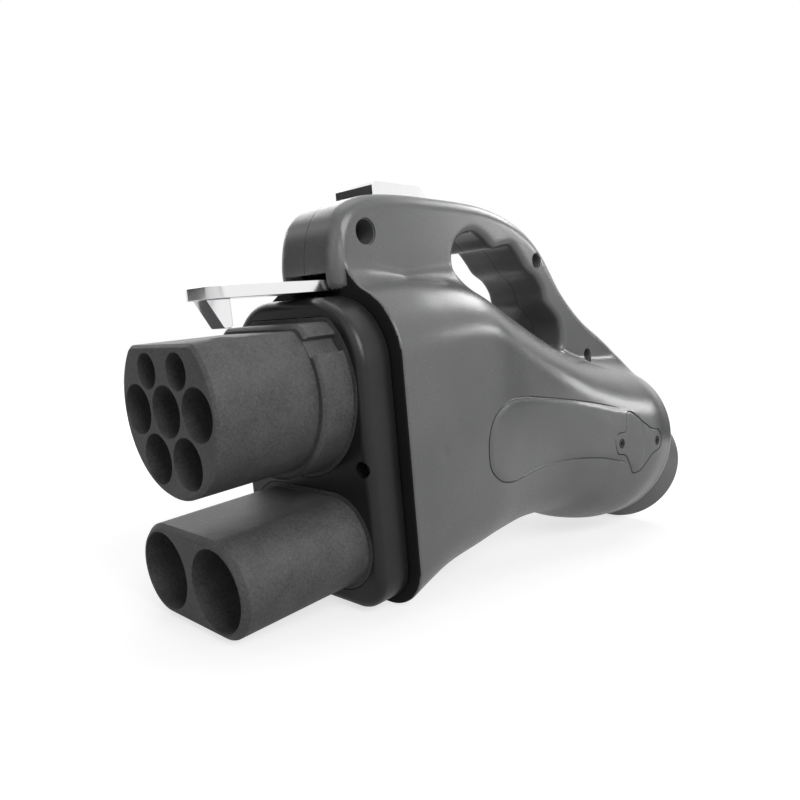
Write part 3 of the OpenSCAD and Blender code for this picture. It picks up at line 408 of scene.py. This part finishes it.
PANEL = [
    [215, -37], [201.1, -33.2], [182.5, -27.9], [161.7, -22.7], [138.4, -17.7], [128.2, -15.8],
    [116.4, -14.7], [108.4, -15.8], [102.5, -18.5], [98.9, -23.1], [97.4, -28.1], [97.3, -34],
    [99.1, -38.1], [103.3, -41.7], [108, -43.7], [114.3, -45], [125, -45.4], [138.1, -45.4],
    [154.1, -46.8], [171.2, -49.6], [186.8, -53.4], [199.8, -58.5], [212, -64],
]
COVER = [
    [202.4, -37.2], [204, -35.9], [206.8, -35.7], [210.1, -37.5], [218.8, -44.4], [223.3, -47],
    [228, -48.2], [230, -51.2], [229.4, -54.4], [227.2, -56.8], [221, -57.9], [218.1, -59.4],
    [212, -64], [208.2, -64.8], [205.4, -63.6], [198.6, -54.6], [193, -52.6], [190.9, -48.4],
    [191.8, -44.8], [194.6, -43.5], [199.4, -43.4],
]
# Each outline with its number of steps between two points, in the order in which the table holds them
OUTLINES = [(HANDLE, 5), (GRIP, 5), (PANEL, 4), (COVER, 4)]
COVER_LAYER = 6


def cubic(a, b, c, d, f):
    """The stretch from b to c of a smooth curve through a, b, c and d, at a share f of the way."""
    bend = f * f * (a - 2.5 * b + 2 * c - 0.5 * d)
    return b + 0.5 * f * (c - a) + bend + f ** 3 * (1.5 * (b - c) + 0.5 * (d - a))


def section_at(t):
    """The housing's section at a place among the key sections, by the smooth curve through them."""
    i = np.clip(np.floor(t).astype(int), 0, LAST_KEY - 1)
    key = [KEYS[np.clip(i + k, 0, LAST_KEY)] for k in (-1, 0, 1, 2)]
    return cubic(*key, (t - i)[..., None])


def closed_curve(points, steps):
    """A smooth closed curve through points, by the same cubic, with some steps between two points."""
    p = np.array(points, float)
    share = (np.arange(steps) / steps)[None, :, None]
    corners = [np.roll(p, -k, axis=0)[:, None, :] for k in (-1, 0, 1, 2)]
    return cubic(*corners, share).reshape(-1, 2)


def outline_distance(outline, y, z):
    """Distance from each place (y, z) to a closed outline, below zero inside it.

    The nearest point of every straight stretch is found; a place is inside when the stretches cross
    its upward line an odd number of times.
    """
    far = 1e9
    nearest = np.full(y.shape, far)
    crossings = np.zeros(y.shape, dtype=int)
    for (ay, az), (by, bz) in zip(outline, np.roll(outline, -1, axis=0)):
        ey, ez = by - ay, bz - az
        share = np.clip(((y - ay) * ey + (z - az) * ez) / (ey * ey + ez * ez), 0, 1)
        nearest = np.minimum(nearest, (y - ay - share * ey) ** 2 + (z - az - share * ez) ** 2)
        spans = (ay > y) != (by > y)
        rise = np.where(spans, az + (y - ay) * ez / (ey if ey else 1 / far), -far)
        crossings += spans & (z < rise)
    return np.sqrt(nearest) * np.where(crossings % 2 == 1, -1, 1)


def rounded_max(a, b, r):
    """The larger of two distances, with a quarter circle of radius r where they meet."""
    return np.minimum(np.maximum(a, b), -r) + np.hypot(np.maximum(a + r, 0), np.maximum(b + r, 0))


def rounded_min(a, b, r):
    """The smaller of two distances, with a fillet of radius r where they meet."""
    return -rounded_max(-a, -b, r)


def smooth_step(value, low, high):
    """Rises from 0 at low to 1 at high with level ends: three squares less two cubes of the share."""
    f = np.clip((value - low) / (high - low), 0, 1)
    return f * f * (3 - 2 * f)


def halved(low, high, times, below):
    """The places between low and high where a test changes, by halving: it holds for what lies below."""
    for _ in range(times):
        middle = (low + high) / 2
        short = below(middle)
        low = np.where(short, middle, low)
        high = np.where(short, high, middle)
    return low, high


class Table:
    """Values that depend on Y and Z alone, worked out once on a fine grid and read between its points.

    They are the place among the key sections, the height in the tilted section, the distance behind the
    last section, and the distances to the outlines.
    """

    LOW = np.array([46.0, -112.0])
    STEP = 0.5
    COUNT = (500, 364)

    def __init__(self):
        y = self.LOW[0] + self.STEP * np.arange(self.COUNT[0])[:, None] + np.zeros(self.COUNT)
        z = self.LOW[1] + self.STEP * np.arange(self.COUNT[1])[None, :] + np.zeros(self.COUNT)
        low = np.zeros(self.COUNT)
        high = np.full(self.COUNT, float(LAST_KEY))
        low, high = halved(low, high, 22, lambda t: self.along(section_at(t), y, z) > 0)
        t = (low + high) / 2
        section = section_at(t)
        tilt = np.radians(section[..., 2])
        up = (y - section[..., 0]) * np.sin(tilt) + (z - section[..., 1]) * np.cos(tilt)
        behind = self.along(section_at(np.full(self.COUNT, float(LAST_KEY))), y, z)
        distances = [outline_distance(closed_curve(points, steps), y, z) for points, steps in OUTLINES]
        self.layers = np.stack([t, up, behind] + distances, axis=-1)

    @staticmethod
    def along(section, y, z):
        """How far a place lies behind the plane of a section."""
        tilt = np.radians(section[..., 2])
        return (y - section[..., 0]) * np.cos(tilt) - (z - section[..., 1]) * np.sin(tilt)

    def read(self, y, z):
        """The seven values at places given by Y and Z, mixed from the four grid points around each."""
        gy = np.clip((y - self.LOW[0]) / self.STEP, 0, self.COUNT[0] - 1.001)
        gz = np.clip((z - self.LOW[1]) / self.STEP, 0, self.COUNT[1] - 1.001)
        i, j = gy.astype(int), gz.astype(int)
        f, g = (gy - i)[..., None], (gz - j)[..., None]
        rows = self.layers
        near = rows[i, j] * (1 - f) + rows[i + 1, j] * f
        far = rows[i, j + 1] * (1 - f) + rows[i + 1, j + 1] * f
        return near * (1 - g) + far * g


TABLE = Table()


def housing_field(x, y, z, values=None):
    """How far a place lies outside the housing's skin, below zero inside.

    The body is a rounded box in the tilted section that passes through the place, closed by the rim's
    plane in front and a round shoulder behind. The handle is its outline with rounded edges less the
    finger opening, joined to the body with a fillet that is widest beside the handle. The side panel
    stands out by its step inside its outline and fades towards the barrel.
    """
    values = TABLE.read(y, z) if values is None else values
    t, up, behind, handle, grip, panel, _ = np.moveaxis(values, -1, 0)
    half, top, low, top_r, low_r = np.moveaxis(section_at(t)[..., 3:8], -1, 0)
    middle, reach = (top - low) / 2, (top + low) / 2
    corner = np.minimum(np.where(up > middle, top_r, low_r), half - LEAST_FLAT)
    across = np.abs(x) - (half - corner)
    above = np.abs(up - middle) - (reach - corner)
    body = np.minimum(np.maximum(across, above), 0)
    body = body + np.hypot(np.maximum(across, 0), np.maximum(above, 0)) - corner
    fade = np.clip((PANEL_FADE_END - t) / PANEL_FADE, 0, 1)
    body = body - PANEL_STEP * fade * smooth_step(-panel, 0.0, PANEL_SLOPE) * (np.abs(x) > PANEL_OUT)
    body = body + DIMPLE_DEPTH * np.exp(-((y - DIMPLE[0]) ** 2 + (z - DIMPLE[1]) ** 2) / DIMPLE_R ** 2)
    body = rounded_max(body, behind - SHOULDER, SHOULDER)
    post = rounded_max(handle, np.abs(x) - HANDLE_HALF, HANDLE_EDGE)
    post = rounded_max(post, -grip, GRIP_EDGE)
    width = np.interp(y, FILLET_Y, FILLET_R) - FILLET_LEAST
    width = FILLET_LEAST + width * smooth_step(np.abs(x), *FILLET_GROWS)
    joined = rounded_max(rounded_min(body, post, width), PLATE_BACK - y, RIM_EDGE)
    return rounded_min(joined, post, RIM_FILLET)


def skin_of(field, low, high, step, name, passes=3, fine=None):
    """A closed mesh of the places where a field is zero.

    Every grid cell that the surface passes through gets one point, the mean of the places where its
    edges cross zero, and every crossed edge gets a face between the four cells around it. The points
    are then moved along the field's slope, by its value over the slope's length, until they lie on it.
    Between the two places in fine, the cells are thinner along Y.
    """
    axes = [np.arange(a, b + step, step) for a, b in zip(low, high)]
    if fine:
        y = axes[1]
        thin = np.arange(fine[0], fine[1], THIN_CELL)
        axes[1] = np.concatenate([y[y < fine[0] - 0.1], thin, y[y > fine[1] + 0.1]])
    x, y, z = np.meshgrid(*axes, indexing="ij")
    value = field(x, y, z)
    places = np.stack([x, y, z], axis=-1)
    cells = np.array(value.shape) - 1
    total = np.zeros((*cells, 3))
    count = np.zeros(cells)
    crossed = []
    for axis in range(3):
        first = np.take(value, range(cells[axis]), axis)
        second = np.take(value, range(1, cells[axis] + 1), axis)
        cross = (first < 0) != (second < 0)
        share = np.where(cross, first / np.where(cross, first - second, 1), 0)[..., None]
        spot = np.take(places, range(cells[axis]), axis) * (1 - share)
        spot += np.take(places, range(1, cells[axis] + 1), axis) * share
        spot *= cross[..., None]
        others = [k for k in range(3) if k != axis]
        for da in (0, 1):
            for db in (0, 1):
                window = [slice(None)] * 3
                window[others[0]] = slice(da, da + cells[others[0]])
                window[others[1]] = slice(db, db + cells[others[1]])
                total += spot[tuple(window)]
                count += cross[tuple(window)]
        crossed.append((cross, first < 0))
    used = count > 0
    number = np.full(cells, -1)
    number[used] = np.arange(used.sum())
    points = total[used] / count[used][:, None]
    faces = []
    for axis, (cross, inner) in enumerate(crossed):
        a, b = [(1, 2), (2, 0), (0, 1)][axis]
        i = np.argwhere(cross)
        i = i[(i[:, a] > 0) & (i[:, a] < cells[a]) & (i[:, b] > 0) & (i[:, b] < cells[b])]
        corners = []
        for da, db in ((1, 1), (0, 1), (0, 0), (1, 0)):
            j = i.copy()
            j[:, a] -= da
            j[:, b] -= db
            corners.append(number[tuple(j.T)])
        quad = np.stack(corners, axis=1)
        outward = inner[tuple(i.T)]
        faces.append(np.where(outward[:, None], quad, quad[:, ::-1]))
    faces = np.vstack(faces)
    tiny = 0.02
    least_slope = 0.2
    longest_move = 0.6 * step
    for _ in range(passes):
        here = field(*points.T)
        slope = np.stack([(field(*(points + tiny * unit).T) - field(*(points - tiny * unit).T)) / (2 * tiny)
                          for unit in np.eye(3)], axis=1)
        size = np.maximum((slope ** 2).sum(axis=1), least_slope)
        points -= np.clip(here / size, -longest_move, longest_move)[:, None] * slope
    return solid(name, points, faces.tolist())


def solid(name, points, faces):
    """A working object from points in millimetres in the plug's frame."""
    mesh = bpy.data.meshes.new(name)
    mesh.from_pydata((np.asarray(points) * MM).tolist(), [], faces)
    mesh.update()
    return linked(name, mesh)


def linked(name, mesh):
    """An object in the scene that holds a mesh, a lamp or a camera."""
    form = bpy.data.objects.new(name, mesh)
    scene.collection.objects.link(form)
    return form


def prism(outline, low, high, axis=0):
    """A closed prism: an outline in the two other axes, in cyclic order, drawn out along one axis."""
    flat = np.asarray(outline, float)
    n = len(flat)
    points = np.zeros((2 * n, 3))
    points[:, (axis + 1) % 3] = np.tile(flat[:, 0], 2)
    points[:, (axis + 2) % 3] = np.tile(flat[:, 1], 2)
    points[:n, axis] = low
    points[n:, axis] = high
    area = (flat[:, 0] * np.roll(flat[:, 1], -1) - np.roll(flat[:, 0], -1) * flat[:, 1]).sum()
    k = np.arange(n)
    sides = np.stack([k, (k + 1) % n, (k + 1) % n + n, k + n], axis=1).tolist()
    faces = sides + [list(range(n))[::-1], list(range(n, 2 * n))]
    if area < 0:
        faces = [face[::-1] for face in faces]
    return solid("cutter", points, faces)


def block(low, high):
    """A box between two corners."""
    outline = [(low[1], low[2]), (high[1], low[2]), (high[1], high[2]), (low[1], high[2])]
    return prism(outline, low[0], high[0])


def ring_points(centre, r, count=48):
    """Points on a circle."""
    angle = 2 * np.pi * (np.arange(count) + 0.5) / count
    return np.stack([centre[0] + r * np.cos(angle), centre[1] + r * np.sin(angle)], axis=1)


def flat_round(r, flat, count=96):
    """A circle cut off flat above a height, as (Z, X) pairs."""
    angle = 2 * np.pi * (np.arange(count) + 0.5) / count
    return np.stack([np.minimum(r * np.sin(angle), flat), r * np.cos(angle)], axis=1)


def twin_round(r, count=32):
    """Two half circles around the lower plug's holes, joined by straight lines, as (Z, X) pairs."""
    angle = np.pi * (np.arange(count + 1) / count - 0.5)
    right = np.stack([-DC_DROP + r * np.sin(angle), DC_HALF_SPACING + r * np.cos(angle)], axis=1)
    left = np.stack([-DC_DROP - r * np.sin(angle), -DC_HALF_SPACING - r * np.cos(angle)], axis=1)
    return np.vstack([right, left])


def side_hole(y, z, r, low, high):
    """A round hole or boss across the housing."""
    return prism(ring_points((y, z), r), low, high)


def inlet_place(points):
    """Turns points drawn along Z of the inlet's own frame into the plug's frame."""
    c, s = math.cos(INLET_SLOPE), math.sin(INLET_SLOPE)
    x, y, z = np.asarray(points, float).T
    return np.stack([x, BARREL[0] + z * c - y * s, BARREL[1] - z * s - y * c], axis=1)


def inlet_drum(r, low, high):
    """A cylinder on the inlet's axis between two places along it."""
    drum = prism(ring_points((0, 0), r, 96), low, high, axis=2)
    points = np.zeros(3 * len(drum.data.vertices))
    drum.data.vertices.foreach_get("co", points)
    drum.data.vertices.foreach_set("co", (inlet_place(points.reshape(-1, 3) / MM) * MM).ravel())
    drum.data.flip_normals()
    return drum


def carved(form, *steps):
    """Applies boolean steps to a working object: pairs of an operation and another working object."""
    for operation, tool in steps:
        change = form.modifiers.new("step", "BOOLEAN")
        change.operation = operation
        change.object = tool
        change.solver = "MANIFOLD"
    graph = bpy.context.evaluated_depsgraph_get()
    mesh = bpy.data.meshes.new_from_object(form.evaluated_get(graph))
    form.modifiers.clear()
    old = form.data
    form.data = mesh
    bpy.data.meshes.remove(old)


def dropped(*forms):
    """Removes working objects."""
    for form in forms:
        mesh = form.data
        bpy.data.objects.remove(form)
        bpy.data.meshes.remove(mesh)


def finished(form, name, node, finish, rim_shade=None):
    """Turns a working object into a finished piece: laid down as the part lies, shaded, dressed and riding.

    Faces of the front rim get the second finish, the seal's black as painted shade: it stands for the
    shadowed gap between the rim and the plate. The front of the handle, which stands on the rim, keeps the
    piece's own.
    """
    mesh = form.data
    shape = bmesh.new()
    shape.from_mesh(mesh)
    bmesh.ops.remove_doubles(shape, verts=shape.verts, dist=SKIN_WELD)
    bmesh.ops.dissolve_degenerate(shape, edges=shape.edges, dist=SKIN_WELD)
    shape.to_mesh(mesh)
    shape.free()
    mesh.materials.clear()
    mesh.materials.append(finish)
    # Painted shade: the rim's front faces get the dark seal finish, standing for the shadowed gap between
    # the rim and the plate
    if rim_shade:
        mesh.materials.append(rim_shade)
        middles = np.zeros(3 * len(mesh.polygons))
        mesh.polygons.foreach_get("center", middles)
        x, y, z = middles.reshape(-1, 3).T / MM
        near = 0.3
        rim = (y < PLATE_BACK + near) & ((np.abs(x) > HANDLE_HALF + near) | (z < HANDLE_FOOT_Z))
        mesh.polygons.foreach_set("material_index", rim.astype(np.int32))
    mesh.transform(rest)
    smooth_shaded(mesh, SKIN_SHARP)
    form.name = name
    evenly_shaded(form)
    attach(form, body_of_node[node])
    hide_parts(node)


def panel_groove():
    """A closed round rope along the side panel's outline, laid on the skin and rising out of it rearwards.

    Where the rope lies along X is found by halving the stretch between the middle and the outside.
    Around each place of the path, the rope's points are its radius times the cosine and sine of an
    angle, along two directions that are square to the path.
    """
    y, z = closed_curve(PANEL, 8).T
    low, _ = halved(np.full(len(y), 20.0), np.full(len(y), 46.0), 18,
                    lambda x: housing_field(x, y, z) <= -PANEL_STEP / 2)
    x = low + 2 * PANEL_STEP * smooth_step(y, *GROOVE_RISE)
    path = np.stack([x, y, z], axis=1)
    ahead = np.roll(path, -1, axis=0) - np.roll(path, 1, axis=0)
    ahead /= np.linalg.norm(ahead, axis=1)[:, None]
    side = np.cross(ahead, (1.0, 0.0, 0.0))
    side /= np.linalg.norm(side, axis=1)[:, None]
    out = np.cross(side, ahead)
    angle = (2 * np.pi * np.arange(GROOVE_SIDES) / GROOVE_SIDES)[None, :, None]
    spokes = np.cos(angle) * side[:, None, :] + np.sin(angle) * out[:, None, :]
    rings = path[:, None, :] + GROOVE_R * spokes
    n = len(path)
    i, k = np.meshgrid(np.arange(n), np.arange(GROOVE_SIDES), indexing="ij")
    i_next, k_next = (i + 1) % n, (k + 1) % GROOVE_SIDES
    corners = [(i, k), (i, k_next), (i_next, k_next), (i_next, k)]
    faces = np.stack([(a * GROOVE_SIDES + b).ravel() for a, b in corners], axis=1)
    groove = solid("groove", rings.reshape(-1, 3), faces.tolist())
    check = bmesh.new()
    check.from_mesh(groove.data)
    if check.calc_volume(signed=True) < 0:
        groove.data.flip_normals()
    check.free()
    return groove


def half_skin(x, y, z):
    """The housing's skin from a little beyond the middle plane."""
    return np.maximum(housing_field(x, y, z), -SKIN_PAST_MIDDLE - x)


def cavity(right):
    """The hollow: the same skin further in, behind the front wall, and deeper under the service cover."""

    def field(x, y, z):
        """Zero on the inner wall, below zero in the hollow."""
        values = TABLE.read(y, z)
        under = smooth_step(COVER_BED_BEYOND - values[..., COVER_LAYER], 0, 1) * (x > COVER_FROM)
        thick = WALL + (COVER_BED * under if right else 0)
        front = np.where(z < LEDGE_Z, FRONT_WALL_BACK, FRONT_WALL_BACK - LEDGE) - y
        inner = np.maximum(housing_field(x, y, z, values) + thick, front)
        return np.maximum(inner, -HOLLOW_PAST_MIDDLE - x)

    return skin_of(field, *HOLLOW_GRID, "cavity", passes=1)


def cover_pocket(gap, depth):
    """The service cover's outline widened by a gap and cut in from outside, to a depth under the skin."""

    def below(x, y, z):
        """Zero at the depth under the skin, within a box around the cover."""
        (mid_y, mid_z), (half_y, half_z) = COVER_BOX_MID, COVER_BOX_HALF
        box = np.maximum(np.abs(y - mid_y) - half_y, np.abs(z - mid_z) - half_z)
        return np.maximum(np.maximum(housing_field(x, y, z) + depth, COVER_BOX_FROM - x), box)

    outline = closed_curve(COVER, 5)
    step = np.roll(outline, -1, axis=0) - np.roll(outline, 1, axis=0)
    step /= np.linalg.norm(step, axis=1)[:, None]
    away = np.stack([-step[:, 1], step[:, 0]], axis=1)
    pocket = prism(outline + gap * away, COVER_FROM, PAST_SIDE)
    core = skin_of(below, *POCKET_GRID, "core", passes=2)
    carved(pocket, ("DIFFERENCE", core))
    dropped(core)
    return pocket


def half_steps(right):
    """What shapes one half out of the skin, in order: pairs of an operation and a working object."""
    bosses = [side_hole(y, z, r + BOSS_WALL, SEAM, BOSS_REACH) for y, z, r in HOUSING_SCREWS]
    cuts = [
        prism(flat_round(*AC_FLANGE), *FLANGE_SEAT, axis=1),
        prism(twin_round(DC_FLANGE_R), *FLANGE_SEAT, axis=1),
        block(*NECK),
        prism(flat_round(*AC_INSERT), *INSERT_HOLE, axis=1),
        prism(twin_round(DC_INSERT_R), *INSERT_HOLE, axis=1),
        block(*LATCH_SLOT),
        block(*BUTTON_FRAME),
        prism(ring_points(STEM_AT, STEM_HOLE_R), *STEM_HOLE, axis=2),
        inlet_drum(INLET_BORE_R, *INLET_BORE),
        panel_groove(),
    ]
    if right:
        for y, z, r in HOUSING_SCREWS:
            cuts.append(side_hole(y, z, r, WELL_FLOOR, PAST_HANDLE))
            cuts.append(side_hole(y, z, r + WELL_RING, HANDLE_HALF - WELL_RING_DEPTH, PAST_HANDLE))
            cuts.append(side_hole(y, z, SHANK_HOLE_R, -1, PAST_HANDLE))
        for y, z, head in COVER_SCREWS:
            cuts.append(side_hole(y, z, COVER_SCREW_HOLE_R, head - COVER_SCREW_DEPTH, PAST_SIDE))
        cuts.append(cover_pocket(COVER_GAP, COVER_T))
        cuts.append(cover_pocket(LEAD_GAP, LEAD_DEPTH))
        cuts.append(block(*SOCKET_OPENING))
    steps = [("DIFFERENCE", cavity(right)), ("INTERSECT", block(*HALF_SPACE))]
    steps += [("UNION", added) for added in bosses + [block(*BRIDGE)]]
    return steps + [("DIFFERENCE", cut) for cut in cuts]


def add_housing():
    """Both halves of the housing, cut from the same skin; the left one is turned over about the middle."""
    skin = skin_of(half_skin, *SKIN_GRID, "skin", fine=RIM_STRETCH)
    for node in ("shell_right", "shell_left"):
        right = node == "shell_right"
        form = linked("half", skin.data.copy())
        steps = half_steps(right)
        carved(form, *steps)
        dropped(*(tool for _, tool in steps))
        if not right:
            form.data.transform(Matrix.Scale(-1, 4, (1, 0, 0)))
            form.data.flip_normals()
        # The rim's front faces are painted dark with the seal finish: painted shade of the gap to the plate
        finished(form, node + "_shown", node, housing_plastic, rim_shade=seal_rubber_and_rim_shade)
    dropped(skin)


def add_cover():
    """The service cover: the same skin inside its outline, its edge rounded, drilled for two screws."""

    def field(x, y, z):
        """Zero on the cover's faces, below zero inside it."""
        values = TABLE.read(y, z)
        outside = housing_field(x, y, z, values)
        rounded = rounded_max(outside, values[..., COVER_LAYER] - COVER_TIGHT, COVER_EDGE)
        return np.maximum(np.maximum(rounded, -COVER_T - outside), COVER_FROM - x)

    cover = skin_of(field, *COVER_GRID, "cover")
    drills = [side_hole(y, z, COVER_HOLE_R, COVER_FROM, PAST_SIDE) for y, z, _ in COVER_SCREWS]
    drills += [side_hole(y, z, COVER_HEAD_R, head, PAST_SIDE) for y, z, head in COVER_SCREWS]
    carved(cover, *(("DIFFERENCE", drill) for drill in drills))
    dropped(*drills)
    finished(cover, "service_cover_shown", "service_cover", housing_plastic)


add_housing()
add_cover()

# The floor: half its width, its shade, its glow beside the object and how much it gains from the near
# to the far distance, in metres, and the share of the glow that reflections see
FLOOR_HALF = 4.0
FLOOR_SHADE = 0.45
GLOW, GLOW_GAIN = 0.7, 0.37
GLOW_NEAR, GLOW_FAR = 0.1, 0.8
FLOOR_IN_GLOSS = 0.45
WORLD_LIGHT = 0.14
LAMPS_AIM = Vector((0.0, 0.0, 0.05))


def background_ray(shading, off_gloss=1.0):
    """1 for rays that see the backdrop: the camera's, and those through glass or off a glossy surface."""
    path = shading.node("ShaderNodeLightPath", {}, [], None)
    camera, gloss, glass = [Link(shading, path.outputs[name])
                            for name in ("Is Camera Ray", "Is Glossy Ray", "Is Transmission Ray")]
    return camera.math("MAXIMUM", gloss * off_gloss).math("MAXIMUM", glass)


def sheet(name, half_w, half_h, finish):
    """A flat rectangle around the origin, facing up."""
    mesh = bpy.data.meshes.new(name)
    signs = [(-1, -1), (1, -1), (1, 1), (-1, 1)]
    corners = [(half_w * a, half_h * b, 0.0) for a, b in signs]
    mesh.from_pydata(corners, [], [(0, 1, 2, 3)])
    mesh.materials.append(finish.material)
    return linked(name, mesh)


def add_floor():
    """A plain pale floor that keeps the soft shadow and fades into the white background."""
    paint = Finish("pale_floor", (FLOOR_SHADE, FLOOR_SHADE, FLOOR_SHADE), 0.9, specular=0.0)
    distance = paint.node("ShaderNodeVectorMath", {"operation": "LENGTH"}, [paint.place], "Value")
    glow = paint.limits(distance, GLOW_NEAR, GLOW_FAR) * GLOW_GAIN + GLOW
    strength = glow * background_ray(paint, FLOOR_IN_GLOSS)
    shown = paint.node("ShaderNodeEmission", {}, {"Strength": strength}, "Emission")
    both = paint.node("ShaderNodeAddShader", {}, [Link(paint, paint.shader.outputs[0]), shown])
    paint.feed(paint.tree.nodes["Material Output"].inputs["Surface"], both)
    floor = sheet("floor", FLOOR_HALF, FLOOR_HALF, paint)


def around(turn, rise, distance):
    """A place at an angle from X towards Y, an angle above the floor, and a distance."""
    turn, rise = math.radians(turn), math.radians(rise)
    level = math.cos(rise)
    return distance * Vector((level * math.cos(turn), level * math.sin(turn), math.sin(rise)))


def add_card(name, centre, half_w, half_h, shade):
    """A dark card that the camera doesn't see, and that glossy faces reflect as a darker band."""
    card = sheet(name, half_w, half_h, Finish(name, (shade, shade, shade), 1.0, specular=0.0))
    facing = (-centre).to_track_quat("Z", "Y").to_matrix().to_4x4()
    card.data.transform(Matrix.Translation(centre) @ facing)
    card.visible_camera = False


def add_world():
    """White for the camera and for reflections, a level grey light for the rest."""
    world = bpy.data.worlds.new("studio")
    scene.world = world
    world.use_nodes = True
    sky = Shading(world.node_tree)
    sky.tree.nodes.clear()
    seen = sky.node("ShaderNodeBackground", {}, {"Color": (1.0, 1.0, 1.0, 1.0), "Strength": 1.0})
    light = sky.node("ShaderNodeBackground", {}, {"Color": (0.98, 0.99, 1.0, 1.0), "Strength": WORLD_LIGHT})
    mix = sky.node("ShaderNodeMixShader", {}, [background_ray(sky), light, seen])
    sky.node("ShaderNodeOutputWorld", {}, [mix], None)


def add_lamp(name, place, size, power):
    """A soft rectangular lamp at a place, turned to face the object."""
    lamp = bpy.data.lights.new(name, "AREA")
    lamp.shape = "RECTANGLE"
    lamp.size, lamp.size_y = size
    lamp.energy = power
    holder = linked(name, lamp)
    holder.location = place
    holder.rotation_euler = (LAMPS_AIM - Vector(place)).to_track_quat("-Z", "Y").to_euler()


def add_camera():
    """The photograph's camera, solved from the plug's holes and turned with the part as it lies."""
    lens = bpy.data.cameras.new("camera")
    lens.sensor_width = 36.0
    lens.lens = 30.304
    lens.clip_start = 0.01
    holder = linked("camera", lens)
    right = Vector((0.728899, 0.684021, 0.028674))
    up = Vector((-0.040266, 0.001022, 0.999188))
    forward = Vector((-0.683437, 0.729462, -0.028288))
    turn = Matrix((right, up, -forward)).transposed().to_4x4()
    holder.matrix_world = Matrix.Translation((0.171751, -0.236922, 0.072543)) @ turn
    scene.camera = holder


add_floor()
add_world()
add_card("front_card", around(-128.5, 15, 1.3), 0.62, 0.34, 0.09)
add_card("rear_card", around(75, 12, 1.2), 0.3, 0.29, 0.02)
add_lamp("side", (1.1, -0.3, 0.72), (0.7, 0.7), 10.2)
add_lamp("top", (-0.2, -0.1, 1.3), (0.8, 0.8), 2.4)
add_lamp("front", (0.5, -1.2, 0.6), (0.7, 0.7), 0.9)
add_lamp("rim", around(88, 44, 1.3), (0.5, 0.36), 3.5)
add_lamp("strip", around(62, 22, 1.1), (0.32, 0.08), 1.1)
add_lamp("far", around(165, 35, 1.4), (0.8, 0.6), 4.0)
add_camera()
scene.view_settings.view_transform = "Standard"
